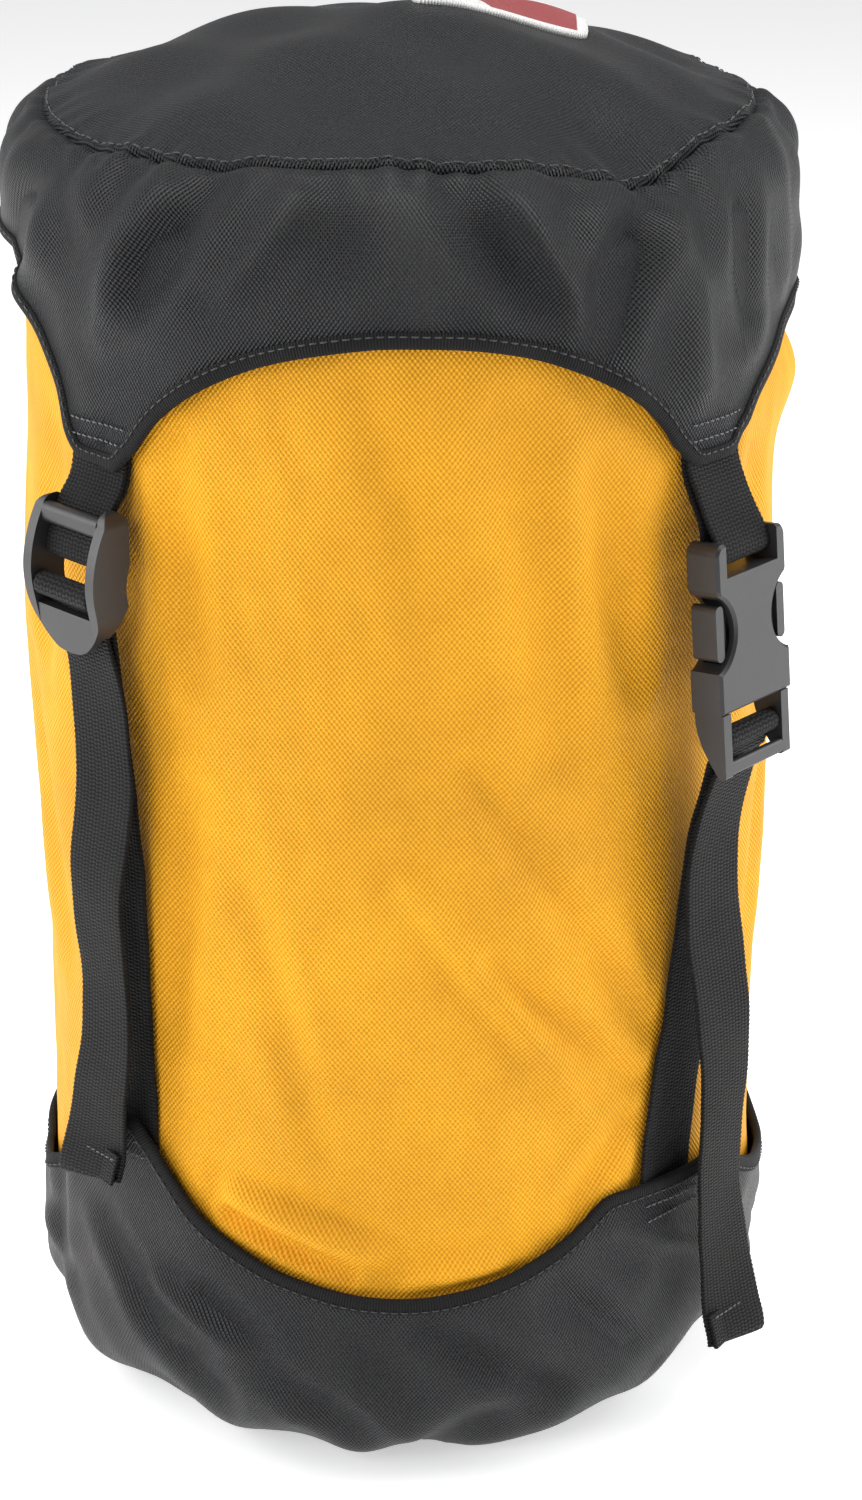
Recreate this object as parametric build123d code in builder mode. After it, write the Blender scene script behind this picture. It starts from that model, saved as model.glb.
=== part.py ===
from build123d import *
import os
from math import cos, radians, sin

os.makedirs("parts", exist_ok=True)

# Compression sack, stuffed and standing on its base. Millimetres, +Z up, front at -Y,
# origin at the centre of the flat bottom. Azimuths are degrees from the front, positive
# towards +X. The left straps carry ladder locks and the right straps side-release buckles.

# ---- Driving dimensions -------------------------------------------------------------
CLOTH = 1.2                 # wall of every cloth shell
SEAM_GAP = 0.05             # between layers that are sewn together
TUBE_GAP = 0.2              # between the load and the tube's cloth

LOAD_R = 116.8              # radius of the stuffed load
LOAD_HEEL_R = 36.0          # rounding of its lower edge
LOAD_BOTTOM = 1.4
LOAD_TOP = 433.0
SHOULDER_Z = 352.0          # where the load starts to round over under the lid
TUBE_BOTTOM = 40.0          # the tube's lower hem, sewn inside the base
MOUTH_R = 24.0              # gathered mouth of the tube
CHANNEL_R = 4.0             # drawcord channel, radius of its rolled hem

CAP_R = 122.8               # outer radius of lid and base
LID_SEAM_R = 110.0          # seam between the lid's disc and its skirt
LID_SEAM_Z = 424.0
LID_TOP = 451.0
LID_ROLL_Z = 393.0          # where the skirt starts to roll in towards the seam
LID_ARM_Z = 330.0           # lower end of the lid's four arms
LID_ARCH_TOPS = {"front": 376.0, "back": 376.0, "left": 387.0, "right": 362.0}
BASE_FLAT_R = 84.0          # flat disc that the sack stands on
BASE_ARM_LEFT = 118.0       # upper end of the base's left and right arms
BASE_ARM_RIGHT = 96.0
BASE_ARCH_LOW = 70.0
ARCH_FROM = 60.0            # the cut-outs start this far from the axis
OVERRUN = 6.0               # the arches spring from this far beyond the arms' ends
BINDING_W = 4.5
BINDING_T = 0.6

LEFT_AZ = 47.0              # straps either side of the front and of the back
RIGHT_AZ = 50.0
ARM_HALF_ANGLE = 6.3        # half the angle that an arm covers

WEB_W = 25.0                # one-inch webbing
WEB_T = 1.5
STRAP_R = 118.4             # inner face of the webbing against the tube

LOCK_BACK_R = 124.0         # back plane of the ladder locks
LOCK_Z = 297.0
LOCK_W = 34.0
LOCK_HALF_L = 23.0
PLATE_T = 3.9               # side plates of the ladder locks
LOOP_BAR = (7.5, 5.2)       # bars, as height above LOCK_Z and distance out
LOOP_BAR_R = 1.8
GRIP_BAR = (-3.5, 10.4)
GRIP_BAR_R = 2.0
FIT = 0.15                  # webbing to bar

BUCKLE_BACK_R = 129.0       # back plane of the buckles at the socket's mouth
BUCKLE_Z = 257.0            # the socket's mouth
BUCKLE_LEAN = 5.0           # the mouth stands further out than the lugs
SOCKET_L = 52.0
SOCKET_W = 36.0
SOCKET_T = 12.0
LUG_W = 34.8
RING_L = 13.0               # the mouth ring
WINDOW_TOP = 36.5
WINDOW_WAIST = 19.0         # width between the two side windows
SLOT_LOW = 41.5             # slot for the lid's webbing
EDGE_BREAK = 0.9            # broken edges of the moulded buckles
SOCKET_BAR = (47.2, 6.0)
SOCKET_BAR_R = 2.0
CAVITY_W = 28.4
CAVITY_T = 6.8
PLUG_L = 20.5               # of the plug, below the mouth
PLUG_W = 33.6
PLUG_BAR = (-9.3, 7.4)
PLUG_BAR_R = 1.9

BADGE_SIZE = (54.0, 32.0)
BADGE_AT = (31.0, 8.0)


# ---- Helpers --------------------------------------------------------------------------
def finish(part, name):
    part.label = name
    export_step(part, f"parts/{name}.step")


def layer(section, outer, inner, r_range, z_range):
    """Half-section between two offsets of a closed section, clipped to a box."""
    with BuildSketch(Plane.XZ) as band:
        offset(section.sketch_local, amount=outer, mode=Mode.ADD)
        offset(section.sketch_local, amount=inner, mode=Mode.SUBTRACT)
        middle = (sum(r_range) / 2, sum(z_range) / 2)
        with Locations(middle):
            Rectangle(r_range[1] - r_range[0], z_range[1] - z_range[0], mode=Mode.INTERSECT)
    return band


def station(azimuth, radius, height, lean=0.0):
    """Plane on a strap: x across the webbing, y up it, z out from the sack."""
    out = Vector(sin(radians(azimuth)), -cos(radians(azimuth)), 0)
    up = Vector(0, 0, 1)
    normal = out * cos(radians(lean)) + up * sin(radians(lean))
    return Plane(origin=out * radius + up * height, x_dir=up.cross(out), z_dir=normal)


def side_of(place):
    """The same place seen from its side: x up the webbing, y out from the sack."""
    return Plane(origin=place.origin, x_dir=place.y_dir, z_dir=place.x_dir)


def band_outline(path, thickness):
    """Side view of a strap whose inner face follows the path."""
    outer = [(along, out + thickness) for along, out in path]
    with BuildSketch() as band:
        with BuildLine():
            Spline(*path)
            Line(path[-1], outer[-1])
            Spline(*reversed(outer))
            Line(outer[0], path[0])
        make_face()
    return band.sketch


def webbing(place, path, thickness=WEB_T):
    with BuildPart() as strap:
        with BuildSketch(side_of(place)):
            add(band_outline(path, thickness))
        extrude(amount=WEB_W / 2, both=True)
    return strap


def bar_loop(place, bar, bar_r, legs):
    """Webbing round a bar, with legs as (path, thickness) pairs."""
    with BuildPart() as loop:
        with BuildSketch(side_of(place)):
            for path, thickness in legs:
                add(band_outline(path, thickness))
            with Locations(bar):
                Circle(bar_r + FIT + WEB_T)
                Circle(bar_r + FIT, mode=Mode.SUBTRACT)
        extrude(amount=WEB_W / 2, both=True)
    return loop


# ---- Load, tube and its gathered mouth --------------------------------------------------
with BuildSketch(Plane.XZ) as load_section:
    with BuildLine():
        corner = CenterArc((LOAD_R - LOAD_HEEL_R, LOAD_BOTTOM + LOAD_HEEL_R), LOAD_HEEL_R, 270, 90)
        wall = Line(corner @ 1, (LOAD_R, SHOULDER_Z))
        shoulder = TangentArc(wall @ 1, (LOAD_R - 13.0, LOAD_TOP - 20), tangent=(0, 1))
        crown = TangentArc((0, LOAD_TOP), (LOAD_R - 36.0, LOAD_TOP - 7), tangent=(1, 0))
        ThreePointArc(shoulder @ 1, (LOAD_R - 21.0, LOAD_TOP - 11.6), crown @ 1)
        axis_line = Line(crown @ 0, (0, LOAD_BOTTOM))
        Line(axis_line @ 1, corner @ 0)
    make_face()

with BuildPart() as stuffed_load:
    revolve(load_section.sketch, axis=Axis.Z)
finish(stuffed_load.part, "stuffed_load")

tube_section = layer(
    load_section, TUBE_GAP + CLOTH, TUBE_GAP, (MOUTH_R, CAP_R), (TUBE_BOTTOM, LID_TOP)
)
with BuildPart() as body_tube:
    revolve(tube_section.sketch, axis=Axis.Z)
finish(body_tube.part, "body_tube")

CHANNEL_Z = LOAD_TOP + TUBE_GAP + CLOTH + CHANNEL_R + 0.6
with BuildPart() as drawcord_channel:
    with BuildSketch(Plane.XZ):
        with Locations((MOUTH_R + 2, CHANNEL_Z)):
            Circle(CHANNEL_R)
            Circle(CHANNEL_R - 1.6, mode=Mode.SUBTRACT)
    revolve(axis=Axis.Z)
    exit_plane = Plane(origin=(0, -MOUTH_R - 2 - CHANNEL_R + 1, CHANNEL_Z), z_dir=(0, -1, 0))
    with BuildSketch(exit_plane):
        Circle(2.4)
    extrude(amount=3, both=True, mode=Mode.SUBTRACT)
finish(drawcord_channel.part, "drawcord_channel")

with BuildPart() as channel_eyelet:
    with BuildSketch(exit_plane.offset(1.1)):
        Circle(3.6)
        Circle(1.7, mode=Mode.SUBTRACT)
    extrude(amount=0.7)
finish(channel_eyelet.part, "channel_eyelet")

# ---- Sections of the lid and the base ---------------------------------------------------
with BuildSketch(Plane.XZ) as lid_section:
    with BuildLine():
        dome = TangentArc((0, LID_TOP), (LID_SEAM_R, LID_SEAM_Z), tangent=(1, 0))
        roll = TangentArc((CAP_R, LID_ROLL_Z), dome @ 1, tangent=(0, 1))
        Polyline(roll @ 0, (CAP_R, LID_ARM_Z - OVERRUN), (0, LID_ARM_Z - OVERRUN), dome @ 0)
    make_face()
    mirror(about=Plane.YZ)

CORNER_R = CAP_R - BASE_FLAT_R
with BuildSketch(Plane.XZ) as base_section:
    with BuildLine():
        floor_line = Line((0, 0), (BASE_FLAT_R, 0))
        heel = CenterArc((BASE_FLAT_R, CORNER_R), CORNER_R, 270, 90)
        Polyline(heel @ 1, (CAP_R, BASE_ARM_LEFT + OVERRUN), (0, BASE_ARM_LEFT + OVERRUN), (0, 0))
    make_face()


# ---- Scallops: one arch on each side between two arms -------------------------------------
def edge_x(azimuth):
    return CAP_R * sin(radians(azimuth))


def edge_y(azimuth):
    return CAP_R * cos(radians(azimuth))


LEFT_INNER = -edge_x(LEFT_AZ - ARM_HALF_ANGLE)
RIGHT_INNER = edge_x(RIGHT_AZ - ARM_HALF_ANGLE)
LEFT_OUTER = edge_y(LEFT_AZ + ARM_HALF_ANGLE)
RIGHT_OUTER = edge_y(RIGHT_AZ + ARM_HALF_ANGLE)

# side name: plane looking out of that side, centre of the arch across it, half its width
ARCHES = {
    "front": (Plane.XZ, (LEFT_INNER + RIGHT_INNER) / 2, (RIGHT_INNER - LEFT_INNER) / 2),
    "back": (
        Plane(origin=(0, 0, 0), x_dir=(-1, 0, 0), z_dir=(0, 1, 0)),
        -(LEFT_INNER + RIGHT_INNER) / 2,
        (RIGHT_INNER - LEFT_INNER) / 2,
    ),
    "left": (Plane(origin=(0, 0, 0), x_dir=(0, -1, 0), z_dir=(-1, 0, 0)), 0, LEFT_OUTER),
    "right": (Plane(origin=(0, 0, 0), x_dir=(0, 1, 0), z_dir=(1, 0, 0)), 0, RIGHT_OUTER),
}


def arches(springing, crowns, grow):
    """The four cut-outs of a scalloped edge; grow widens them by the binding's width."""
    blocks = []
    for side, (plane, across, half_width) in ARCHES.items():
        rise = abs(crowns[side] - springing)
        with BuildPart() as block:
            with BuildSketch(plane.offset(ARCH_FROM)):
                with Locations((across, springing)):
                    Ellipse(half_width + grow, rise + grow)
            extrude(amount=CAP_R + 10 - ARCH_FROM)
        blocks.append(block.part)
    return blocks


lid_cut = arches(LID_ARM_Z - OVERRUN, LID_ARCH_TOPS, 0)
lid_cut_grown = arches(LID_ARM_Z - OVERRUN, LID_ARCH_TOPS, BINDING_W)

lid_wall = layer(lid_section, 0, -CLOTH, (LID_SEAM_R, CAP_R + 5), (LID_ARM_Z, LID_TOP))
with BuildPart() as lid_skirt:
    revolve(lid_wall.sketch, axis=Axis.Z)
    add(lid_cut, mode=Mode.SUBTRACT)
finish(lid_skirt.part, "lid_skirt")

lid_crown = layer(lid_section, 0, -CLOTH, (0, LID_SEAM_R), (LID_SEAM_Z - 5, LID_TOP + 5))
with BuildPart() as lid_disc:
    revolve(lid_crown.sketch, axis=Axis.Z)
finish(lid_disc.part, "lid_disc")

lid_tape = layer(
    lid_section, SEAM_GAP + BINDING_T, SEAM_GAP, (LID_SEAM_R + 2, CAP_R + 5), (LID_ARM_Z, LID_TOP)
)
with BuildPart() as lid_inside_tape:
    revolve(lid_tape.sketch, axis=Axis.Z)
    add(lid_cut_grown, mode=Mode.SUBTRACT)
    with Locations((0, 0, LID_ARM_Z)):
        Cylinder(CAP_R + 20, 2 * BINDING_W, mode=Mode.SUBTRACT)
with BuildPart() as lid_binding:
    revolve(lid_tape.sketch, axis=Axis.Z)
    add(lid_cut, mode=Mode.SUBTRACT)
    add(lid_inside_tape.part, mode=Mode.SUBTRACT)
finish(lid_binding.part, "lid_binding")

badge_layer = layer(lid_section, SEAM_GAP + 0.8, SEAM_GAP, (0, LID_SEAM_R - 5), (LID_SEAM_Z, LID_TOP + 5))
with BuildSketch(Plane.XY.offset(LID_SEAM_Z)) as badge_shape:
    with Locations(BADGE_AT):
        RectangleRounded(*BADGE_SIZE, 6)
with BuildPart() as lid_badge:
    revolve(badge_layer.sketch, axis=Axis.Z)
    extrude(badge_shape.sketch, amount=60, mode=Mode.INTERSECT)
finish(lid_badge.part, "lid_badge")

# ---- Base -----------------------------------------------------------------------------------
with BuildPart() as base_disc:
    Cylinder(BASE_FLAT_R, CLOTH, align=(Align.CENTER, Align.CENTER, Align.MIN))
finish(base_disc.part, "base_disc")

base_crowns = {side: BASE_ARCH_LOW for side in ARCHES}
base_cut = arches(BASE_ARM_LEFT + OVERRUN, base_crowns, 0)
base_cut_grown = arches(BASE_ARM_LEFT + OVERRUN, base_crowns, BINDING_W)


def above_right_arms(height):
    with BuildPart() as block:
        with Locations((CAP_R, 0, height)):
            Box(2 * CAP_R, 3 * CAP_R, 60, align=(Align.CENTER, Align.CENTER, Align.MIN))
    return block.part


base_wall = layer(base_section, 0, -CLOTH, (BASE_FLAT_R, CAP_R + 5), (0, BASE_ARM_LEFT))
with BuildPart() as base_skirt:
    revolve(base_wall.sketch, axis=Axis.Z)
    add(base_cut, mode=Mode.SUBTRACT)
    add(above_right_arms(BASE_ARM_RIGHT), mode=Mode.SUBTRACT)
finish(base_skirt.part, "base_skirt")

base_tape = layer(
    base_section, SEAM_GAP + BINDING_T, SEAM_GAP, (LID_SEAM_R, CAP_R + 5), (50, BASE_ARM_LEFT)
)
with BuildPart() as base_inside_tape:
    revolve(base_tape.sketch, axis=Axis.Z)
    add(base_cut_grown, mode=Mode.SUBTRACT)
    add(above_right_arms(BASE_ARM_RIGHT - BINDING_W), mode=Mode.SUBTRACT)
    with Locations((-CAP_R, 0, BASE_ARM_LEFT)):
        Box(2 * CAP_R, 3 * CAP_R, 2 * BINDING_W, mode=Mode.SUBTRACT)
with BuildPart() as base_binding:
    revolve(base_tape.sketch, axis=Axis.Z)
    add(base_cut, mode=Mode.SUBTRACT)
    add(above_right_arms(BASE_ARM_RIGHT), mode=Mode.SUBTRACT)
    add(base_inside_tape.part, mode=Mode.SUBTRACT)
finish(base_binding.part, "base_binding")


# ---- Ladder locks on the left straps ----------------------------------------------------------
def plate_profile():
    """Leaf-shaped side of a ladder lock: x up the lock, y out from the sack."""
    with BuildSketch() as plate:
        with BuildLine():
            back = Line((20, 0), (6, 0))
            waist = Spline(back @ 1, (0, 1.6), (-6, 1.0))
            heel_line = Spline(waist @ 1, (-14, 4.6), (-LOCK_HALF_L + 0.6, 7.4))
            tip = ThreePointArc(heel_line @ 1, (-LOCK_HALF_L, 8.8), (-LOCK_HALF_L + 1.0, 10.4))
            front = Spline(tip @ 1, (-12, 12.0), (0, 14.0), (10, 12.6), (19, 9.0))
            ThreePointArc(front @ 1, (LOCK_HALF_L, 4.4), back @ 0)
        make_face()
    return plate.sketch


def ladder_lock(place):
    with BuildPart() as lock:
        with BuildSketch(side_of(place)):
            add(plate_profile())
        extrude(amount=LOCK_W / 2, both=True)
        # the window between the plates, all the way down to the thumb tab
        with BuildSketch(side_of(place)):
            with Locations((7, 7)):
                Rectangle(60, 40)
        extrude(amount=LOCK_W / 2 - PLATE_T, both=True, mode=Mode.SUBTRACT)
        with BuildSketch(side_of(place)):
            with Locations((17.8, 6.9)):
                RectangleRounded(6.4, 4.8, 2.2)
            with Locations(LOOP_BAR):
                Circle(LOOP_BAR_R)
            with Locations(GRIP_BAR):
                Circle(GRIP_BAR_R)
            with BuildLine():
                Polyline((-9.6, 12.0), (-9.6, 8.6), (-LOCK_HALF_L, 7.6), (-LOCK_HALF_L, 10.2), close=True)
            make_face()
        extrude(amount=LOCK_W / 2 - PLATE_T, both=True)
        # outline seen from the front: rounded shoulders and a tapering thumb tab
        half = LOCK_W / 2
        with BuildSketch(place, mode=Mode.PRIVATE) as outline:
            with BuildLine():
                left = Spline((-half, -6), (-half + 2.2, -14), (-8, -21), (0, -LOCK_HALF_L),
                              tangents=((0, -1), (1, 0)))
                right = Spline((0, -LOCK_HALF_L), (8, -21), (half - 2.2, -14), (half, -6),
                               tangents=((1, 0), (0, 1)))
                Line(right @ 1, (half, 18))
                ThreePointArc((half, 18), (half - 1.4, 21.6), (half - 5, LOCK_HALF_L))
                Line((half - 5, LOCK_HALF_L), (5 - half, LOCK_HALF_L))
                ThreePointArc((5 - half, LOCK_HALF_L), (1.4 - half, 21.6), (-half, 18))
                Line((-half, 18), left @ 0)
            make_face()
        extrude(outline.sketch, amount=40, both=True, mode=Mode.INTERSECT)
    return lock


def left_strap_set(azimuth, end):
    """Loop, lock, wrap, standing strap and tail of one left strap; end is front or back."""
    lock_place = station(azimuth, LOCK_BACK_R, LOCK_Z)
    tube_place = station(azimuth, STRAP_R, 0)
    finish(ladder_lock(lock_place).part, f"ladder_lock_{end}")

    step = LOCK_BACK_R - STRAP_R
    loop_path = [(8.4, 1.75), (15, 1.3), (22, 0.6), (28, -step + 1.6), (34, -step + 0.2), (44, -step + 0.1)]
    loop = bar_loop(lock_place, LOOP_BAR, LOOP_BAR_R, [(loop_path, WEB_T)])
    finish(loop.part, f"lid_loop_left_{end}")

    rear_leg = [(-14.0, 2.6), (-9.0, 3.4), (-5.5, 5.6), (-3.0, 6.9)]
    front_leg = [(-14.0, 4.8), (-10.6, 5.6), (-8.2, 7.6), (-6.6, 9.4)]
    wrap = bar_loop(lock_place, GRIP_BAR, GRIP_BAR_R, [(rear_leg, 1.4), (front_leg, 1.4)])
    finish(wrap.part, f"strap_wrap_left_{end}")

    top = LOCK_Z - 14.4
    arm = BASE_ARM_LEFT
    standing = [(arm - 22, 0), (arm, 0), (arm + 30, 0.5), (220, 2.6), (260, 5.4), (top, step + 2.4)]
    finish(webbing(tube_place, standing).part, f"standing_strap_left_{end}")

    tail = [(94, 10.5), (130, 12.0), (165, 9.6), (200, 10.6), (236, 8.6), (262, 8.2), (top, step + 4.8)]
    finish(webbing(tube_place, tail).part, f"strap_tail_left_{end}")


# ---- Side-release buckles on the right straps ---------------------------------------------------
def socket(place):
    half = SOCKET_W / 2
    lug = LUG_W / 2
    waist = WINDOW_WAIST / 2
    window_mid = (RING_L + WINDOW_TOP) / 2
    with BuildPart() as body:
        with BuildSketch(place):
            with BuildLine():
                Polyline((0, 0), (half, 0), (half, RING_L), (lug - 0.6, RING_L + 0.4))
                ThreePointArc((lug - 0.6, RING_L + 0.4), (waist, window_mid), (lug - 0.6, WINDOW_TOP))
                Polyline((lug - 0.6, WINDOW_TOP), (lug, WINDOW_TOP + 1.5), (lug, SOCKET_L - 4))
                ThreePointArc((lug, SOCKET_L - 4), (lug - 1.0, SOCKET_L - 1), (lug - 3.2, SOCKET_L))
                Polyline((lug - 3.2, SOCKET_L), (0, SOCKET_L), (0, 0))
            make_face()
            mirror(about=Plane.YZ)
        extrude(amount=SOCKET_T)
        faces = body.faces().sort_by(Axis(place.origin, place.z_dir))
        chamfer(faces[0].edges() + faces[-1].edges(), EDGE_BREAK)
        with BuildSketch(place):
            with Locations((0, SLOT_LOW + 20)):
                Rectangle(WEB_W + 0.9, 40)
        extrude(amount=SOCKET_T, mode=Mode.SUBTRACT)
        with BuildSketch(place.offset((SOCKET_T - CAVITY_T) / 2)):
            with Locations((0, (WINDOW_TOP + 1.0) / 2)):
                Rectangle(CAVITY_W, WINDOW_TOP + 1.0)
        extrude(amount=CAVITY_T, mode=Mode.SUBTRACT)
        with BuildSketch(side_of(place)):
            with Locations(SOCKET_BAR):
                Circle(SOCKET_BAR_R)
        extrude(amount=WEB_W / 2 + 0.6, both=True)
    return body


def plug_plate_profile():
    """Side of the plug, tapering to its foot: x up the strap, y out from the sack."""
    with BuildSketch() as plate:
        with BuildLine():
            Line((-0.3, 11.3), (-0.3, 0.7))
            back = Spline((-0.3, 0.7), (-7, 1.4), (-14, 4.4), (-PLUG_L + 0.4, 8.6))
            ThreePointArc(back @ 1, (-PLUG_L, 10.0), (-PLUG_L + 0.8, 11.3))
            Line((-PLUG_L + 0.8, 11.3), (-0.3, 11.3))
        make_face()
    return plate.sketch


def plug_frame(place):
    plate_t = (PLUG_W - WEB_W - 1.0) / 2
    inner = PLUG_W / 2 - plate_t
    with BuildPart() as frame:
        with BuildSketch(side_of(place)):
            add(plug_plate_profile())
        extrude(amount=PLUG_W / 2, both=True)
        with BuildSketch(side_of(place)):
            with Locations((-8, 6)):
                Rectangle(40, 30)
        extrude(amount=inner, both=True, mode=Mode.SUBTRACT)
        with BuildSketch(side_of(place)):
            with Locations(PLUG_BAR):
                Circle(PLUG_BAR_R)
            with Locations((-PLUG_L + 2.9, 10.1)):
                RectangleRounded(4.4, 2.4, 0.9)
        extrude(amount=inner + 0.2, both=True)
        # cross piece inside the mouth, which carries the two arms
        with BuildSketch(side_of(place)):
            with Locations((2.2, SOCKET_T / 2)):
                Rectangle(3.2, CAVITY_T - 0.8)
        extrude(amount=CAVITY_W / 2 - 0.5, both=True)
        for hand in (-1, 1):
            with BuildSketch(side_of(place).offset(hand * (inner + 0.2))):
                with Locations((0.6, SOCKET_T / 2)):
                    Rectangle(3.0, CAVITY_T - 0.8)
            extrude(amount=-hand * 2.0)
    return frame


ARM_ROOT = (8.4, 4.0)       # where an arm flexes, as across and up from the mouth


def plug_arm(place, hand):
    """Springy arm with its release button; hand is -1 for the left arm, 1 for the right."""
    across, up = ARM_ROOT
    button_in, button_out = 13.7, 17.4
    low, high = 16.2, 33.4
    web_low = (SOCKET_T - CAVITY_T) / 2 + 0.5
    with BuildPart() as arm:
        with BuildSketch(place.offset(web_low)):
            with BuildLine():
                Polyline(
                    (hand * (across - 1.8), up),
                    (hand * (across + 1.8), up),
                    (hand * (across + 4.6), low),
                    (hand * (button_in + 0.4), low + 1),
                    (hand * (button_in + 0.4), high - 1.5),
                    (hand * (button_in - 2.4), high - 3),
                    (hand * (across + 1.6), low + 2),
                    close=True,
                )
            make_face()
        extrude(amount=CAVITY_T - 1.0)
        with BuildSketch(place.offset(1.5)):
            with Locations((hand * (button_in + button_out) / 2, (low + high) / 2)):
                RectangleRounded(button_out - button_in, high - low, 1.8)
        extrude(amount=SOCKET_T - 3.0)
    return arm


def right_strap_set(azimuth, end):
    place = station(azimuth, BUCKLE_BACK_R, BUCKLE_Z, BUCKLE_LEAN)
    tube_place = station(azimuth, STRAP_R, 0)
    finish(socket(place).part, f"buckle_socket_{end}")
    finish(plug_frame(place).part, f"buckle_plug_{end}")
    finish(plug_arm(place, -1).part, f"plug_arm_left_{end}")
    finish(plug_arm(place, 1).part, f"plug_arm_right_{end}")

    rise = sin(radians(BUCKLE_LEAN))
    step = BUCKLE_BACK_R - STRAP_R
    bar_up, bar_out = SOCKET_BAR
    ring = SOCKET_BAR_R + FIT + WEB_T
    behind = -step + LID_ARM_Z * rise - BUCKLE_Z * rise
    loop_path = [
        (bar_up + 0.6, bar_out - ring),
        (bar_up + 8, bar_out - ring - 0.8),
        (bar_up + 17, bar_out - ring - 3.6),
        (bar_up + 25, behind + 0.9),
        (bar_up + 34, behind + 0.9),
    ]
    loop = bar_loop(place, SOCKET_BAR, SOCKET_BAR_R, [(loop_path, WEB_T)])
    finish(loop.part, f"lid_loop_right_{end}")

    rear_leg = [(-17.0, 1.4), (-13.0, 2.2), (-9.6, 4.0)]
    front_leg = [(-17.0, 3.4), (-14.6, 4.4), (-12.6, 6.2)]
    wrap = bar_loop(place, PLUG_BAR, PLUG_BAR_R, [(rear_leg, 1.3), (front_leg, 1.4)])
    finish(wrap.part, f"strap_wrap_right_{end}")

    top = BUCKLE_Z - 17.8
    arm = BASE_ARM_RIGHT
    standing = [(arm - 20, 0), (arm, 0), (arm + 30, 0.6), (180, 3.0), (215, 7.0), (top, step + 2.6)]
    finish(webbing(tube_place, standing).part, f"standing_strap_right_{end}")

    tail = [(30, 13.5), (70, 9.4), (110, 11.5), (150, 12.6), (190, 11.0), (220, 12.2), (top, step + 5.2)]
    finish(webbing(tube_place, tail).part, f"strap_tail_right_{end}")


left_strap_set(-LEFT_AZ, "front")
left_strap_set(LEFT_AZ - 180, "back")
right_strap_set(RIGHT_AZ, "front")
right_strap_set(180 - RIGHT_AZ, "back")
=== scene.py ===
from math import asin, cos, pi, radians, sin, sqrt

import bpy
import numpy as np
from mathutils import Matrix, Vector


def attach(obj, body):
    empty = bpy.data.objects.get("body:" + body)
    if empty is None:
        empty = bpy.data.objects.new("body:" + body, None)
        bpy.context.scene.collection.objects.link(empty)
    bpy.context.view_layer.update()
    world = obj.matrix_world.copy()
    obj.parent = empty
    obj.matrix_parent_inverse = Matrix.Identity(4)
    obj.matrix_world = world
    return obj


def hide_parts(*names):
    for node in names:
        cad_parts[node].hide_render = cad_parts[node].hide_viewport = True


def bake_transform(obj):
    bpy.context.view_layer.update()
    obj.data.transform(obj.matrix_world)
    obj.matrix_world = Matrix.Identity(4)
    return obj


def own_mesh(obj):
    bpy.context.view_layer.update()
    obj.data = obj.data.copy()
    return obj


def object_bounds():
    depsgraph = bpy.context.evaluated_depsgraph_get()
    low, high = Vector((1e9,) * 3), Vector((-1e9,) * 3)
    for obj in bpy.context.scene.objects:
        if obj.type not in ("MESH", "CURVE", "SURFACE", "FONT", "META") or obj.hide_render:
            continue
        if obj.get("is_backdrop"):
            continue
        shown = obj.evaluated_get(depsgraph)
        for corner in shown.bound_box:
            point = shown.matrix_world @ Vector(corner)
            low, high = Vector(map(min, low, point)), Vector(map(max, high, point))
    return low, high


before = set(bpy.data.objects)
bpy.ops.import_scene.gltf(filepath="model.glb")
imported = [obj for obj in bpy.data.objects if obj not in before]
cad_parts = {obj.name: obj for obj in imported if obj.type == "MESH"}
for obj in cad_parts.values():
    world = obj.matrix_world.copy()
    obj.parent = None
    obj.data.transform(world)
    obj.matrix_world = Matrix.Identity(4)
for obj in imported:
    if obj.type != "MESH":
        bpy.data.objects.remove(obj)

# Compression sack, stuffed and standing. Lengths below are millimetres in the row frame, turned
# into metres by MM when a mesh is written. Azimuths are degrees from the front, positive to +X.
MM = 0.001
CAD_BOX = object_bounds()

# ---- Driving dimensions ----
CLOTH = 0.8
TUBE_R = 118.3
TUBE_HEM_Z = 42.0
MOUTH_R = 24.0
CHANNEL_RING_R = 26.0
CHANNEL_R = 3.9
CHANNEL_Z = 439.2
CAP_R = 122.8
LID_TOP = 451.0
LID_SEAM = (110.0, 424.0)
LID_ROLL_Z = 393.0
LID_ARM_Z = 330.0
BASE_FLAT_R = 84.0
BASE_SPRING_Z = 124.0
LID_SPRING_Z = 324.0
ARM_HALF_ANGLE = 6.3
LEFT_AZ = 47.0
RIGHT_AZ = 50.0
TAPE_W = 4.5
CORNER_R = 6.0           # rounding of the arms' ends

WEB_W = 25.0
WEB_T = 1.5
STRAP_R = 118.4
LOCK_R = 124.0
LOCK_Z = 297.0
BUCKLE_R = 129.0
BUCKLE_Z = 257.0
BUCKLE_LEAN = 5.0
LOCK_WRAP_DROP = 14.2    # lower end of the left wrap, below the lock's middle


# ---- Small helpers ----
def gauss(x, width):
    return np.exp(-((x / width) ** 2))


def smooth(x, low, high):
    t = np.clip((x - low) / (high - low), 0, 1)
    return t * t * (3 - 2 * t)


def turn(az, centre):
    """Signed angle from centre to az, in degrees, wrapped to +-180."""
    return (np.asarray(az) - centre + 180.0) % 360.0 - 180.0


def unit(vectors):
    return vectors / np.linalg.norm(vectors, axis=-1, keepdims=True)


def circle(count):
    """Azimuths once round the axis, from the back."""
    return np.linspace(-180, 180, count, endpoint=False)


def pair(a, b):
    """Two coordinates side by side in one array."""
    return np.stack(np.broadcast_arrays(a, b), axis=-1)


def plan(r, t):
    """Plan position at radius r and angle t, in radians from the front."""
    return pair(r * np.sin(t), -r * np.cos(t))


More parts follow.
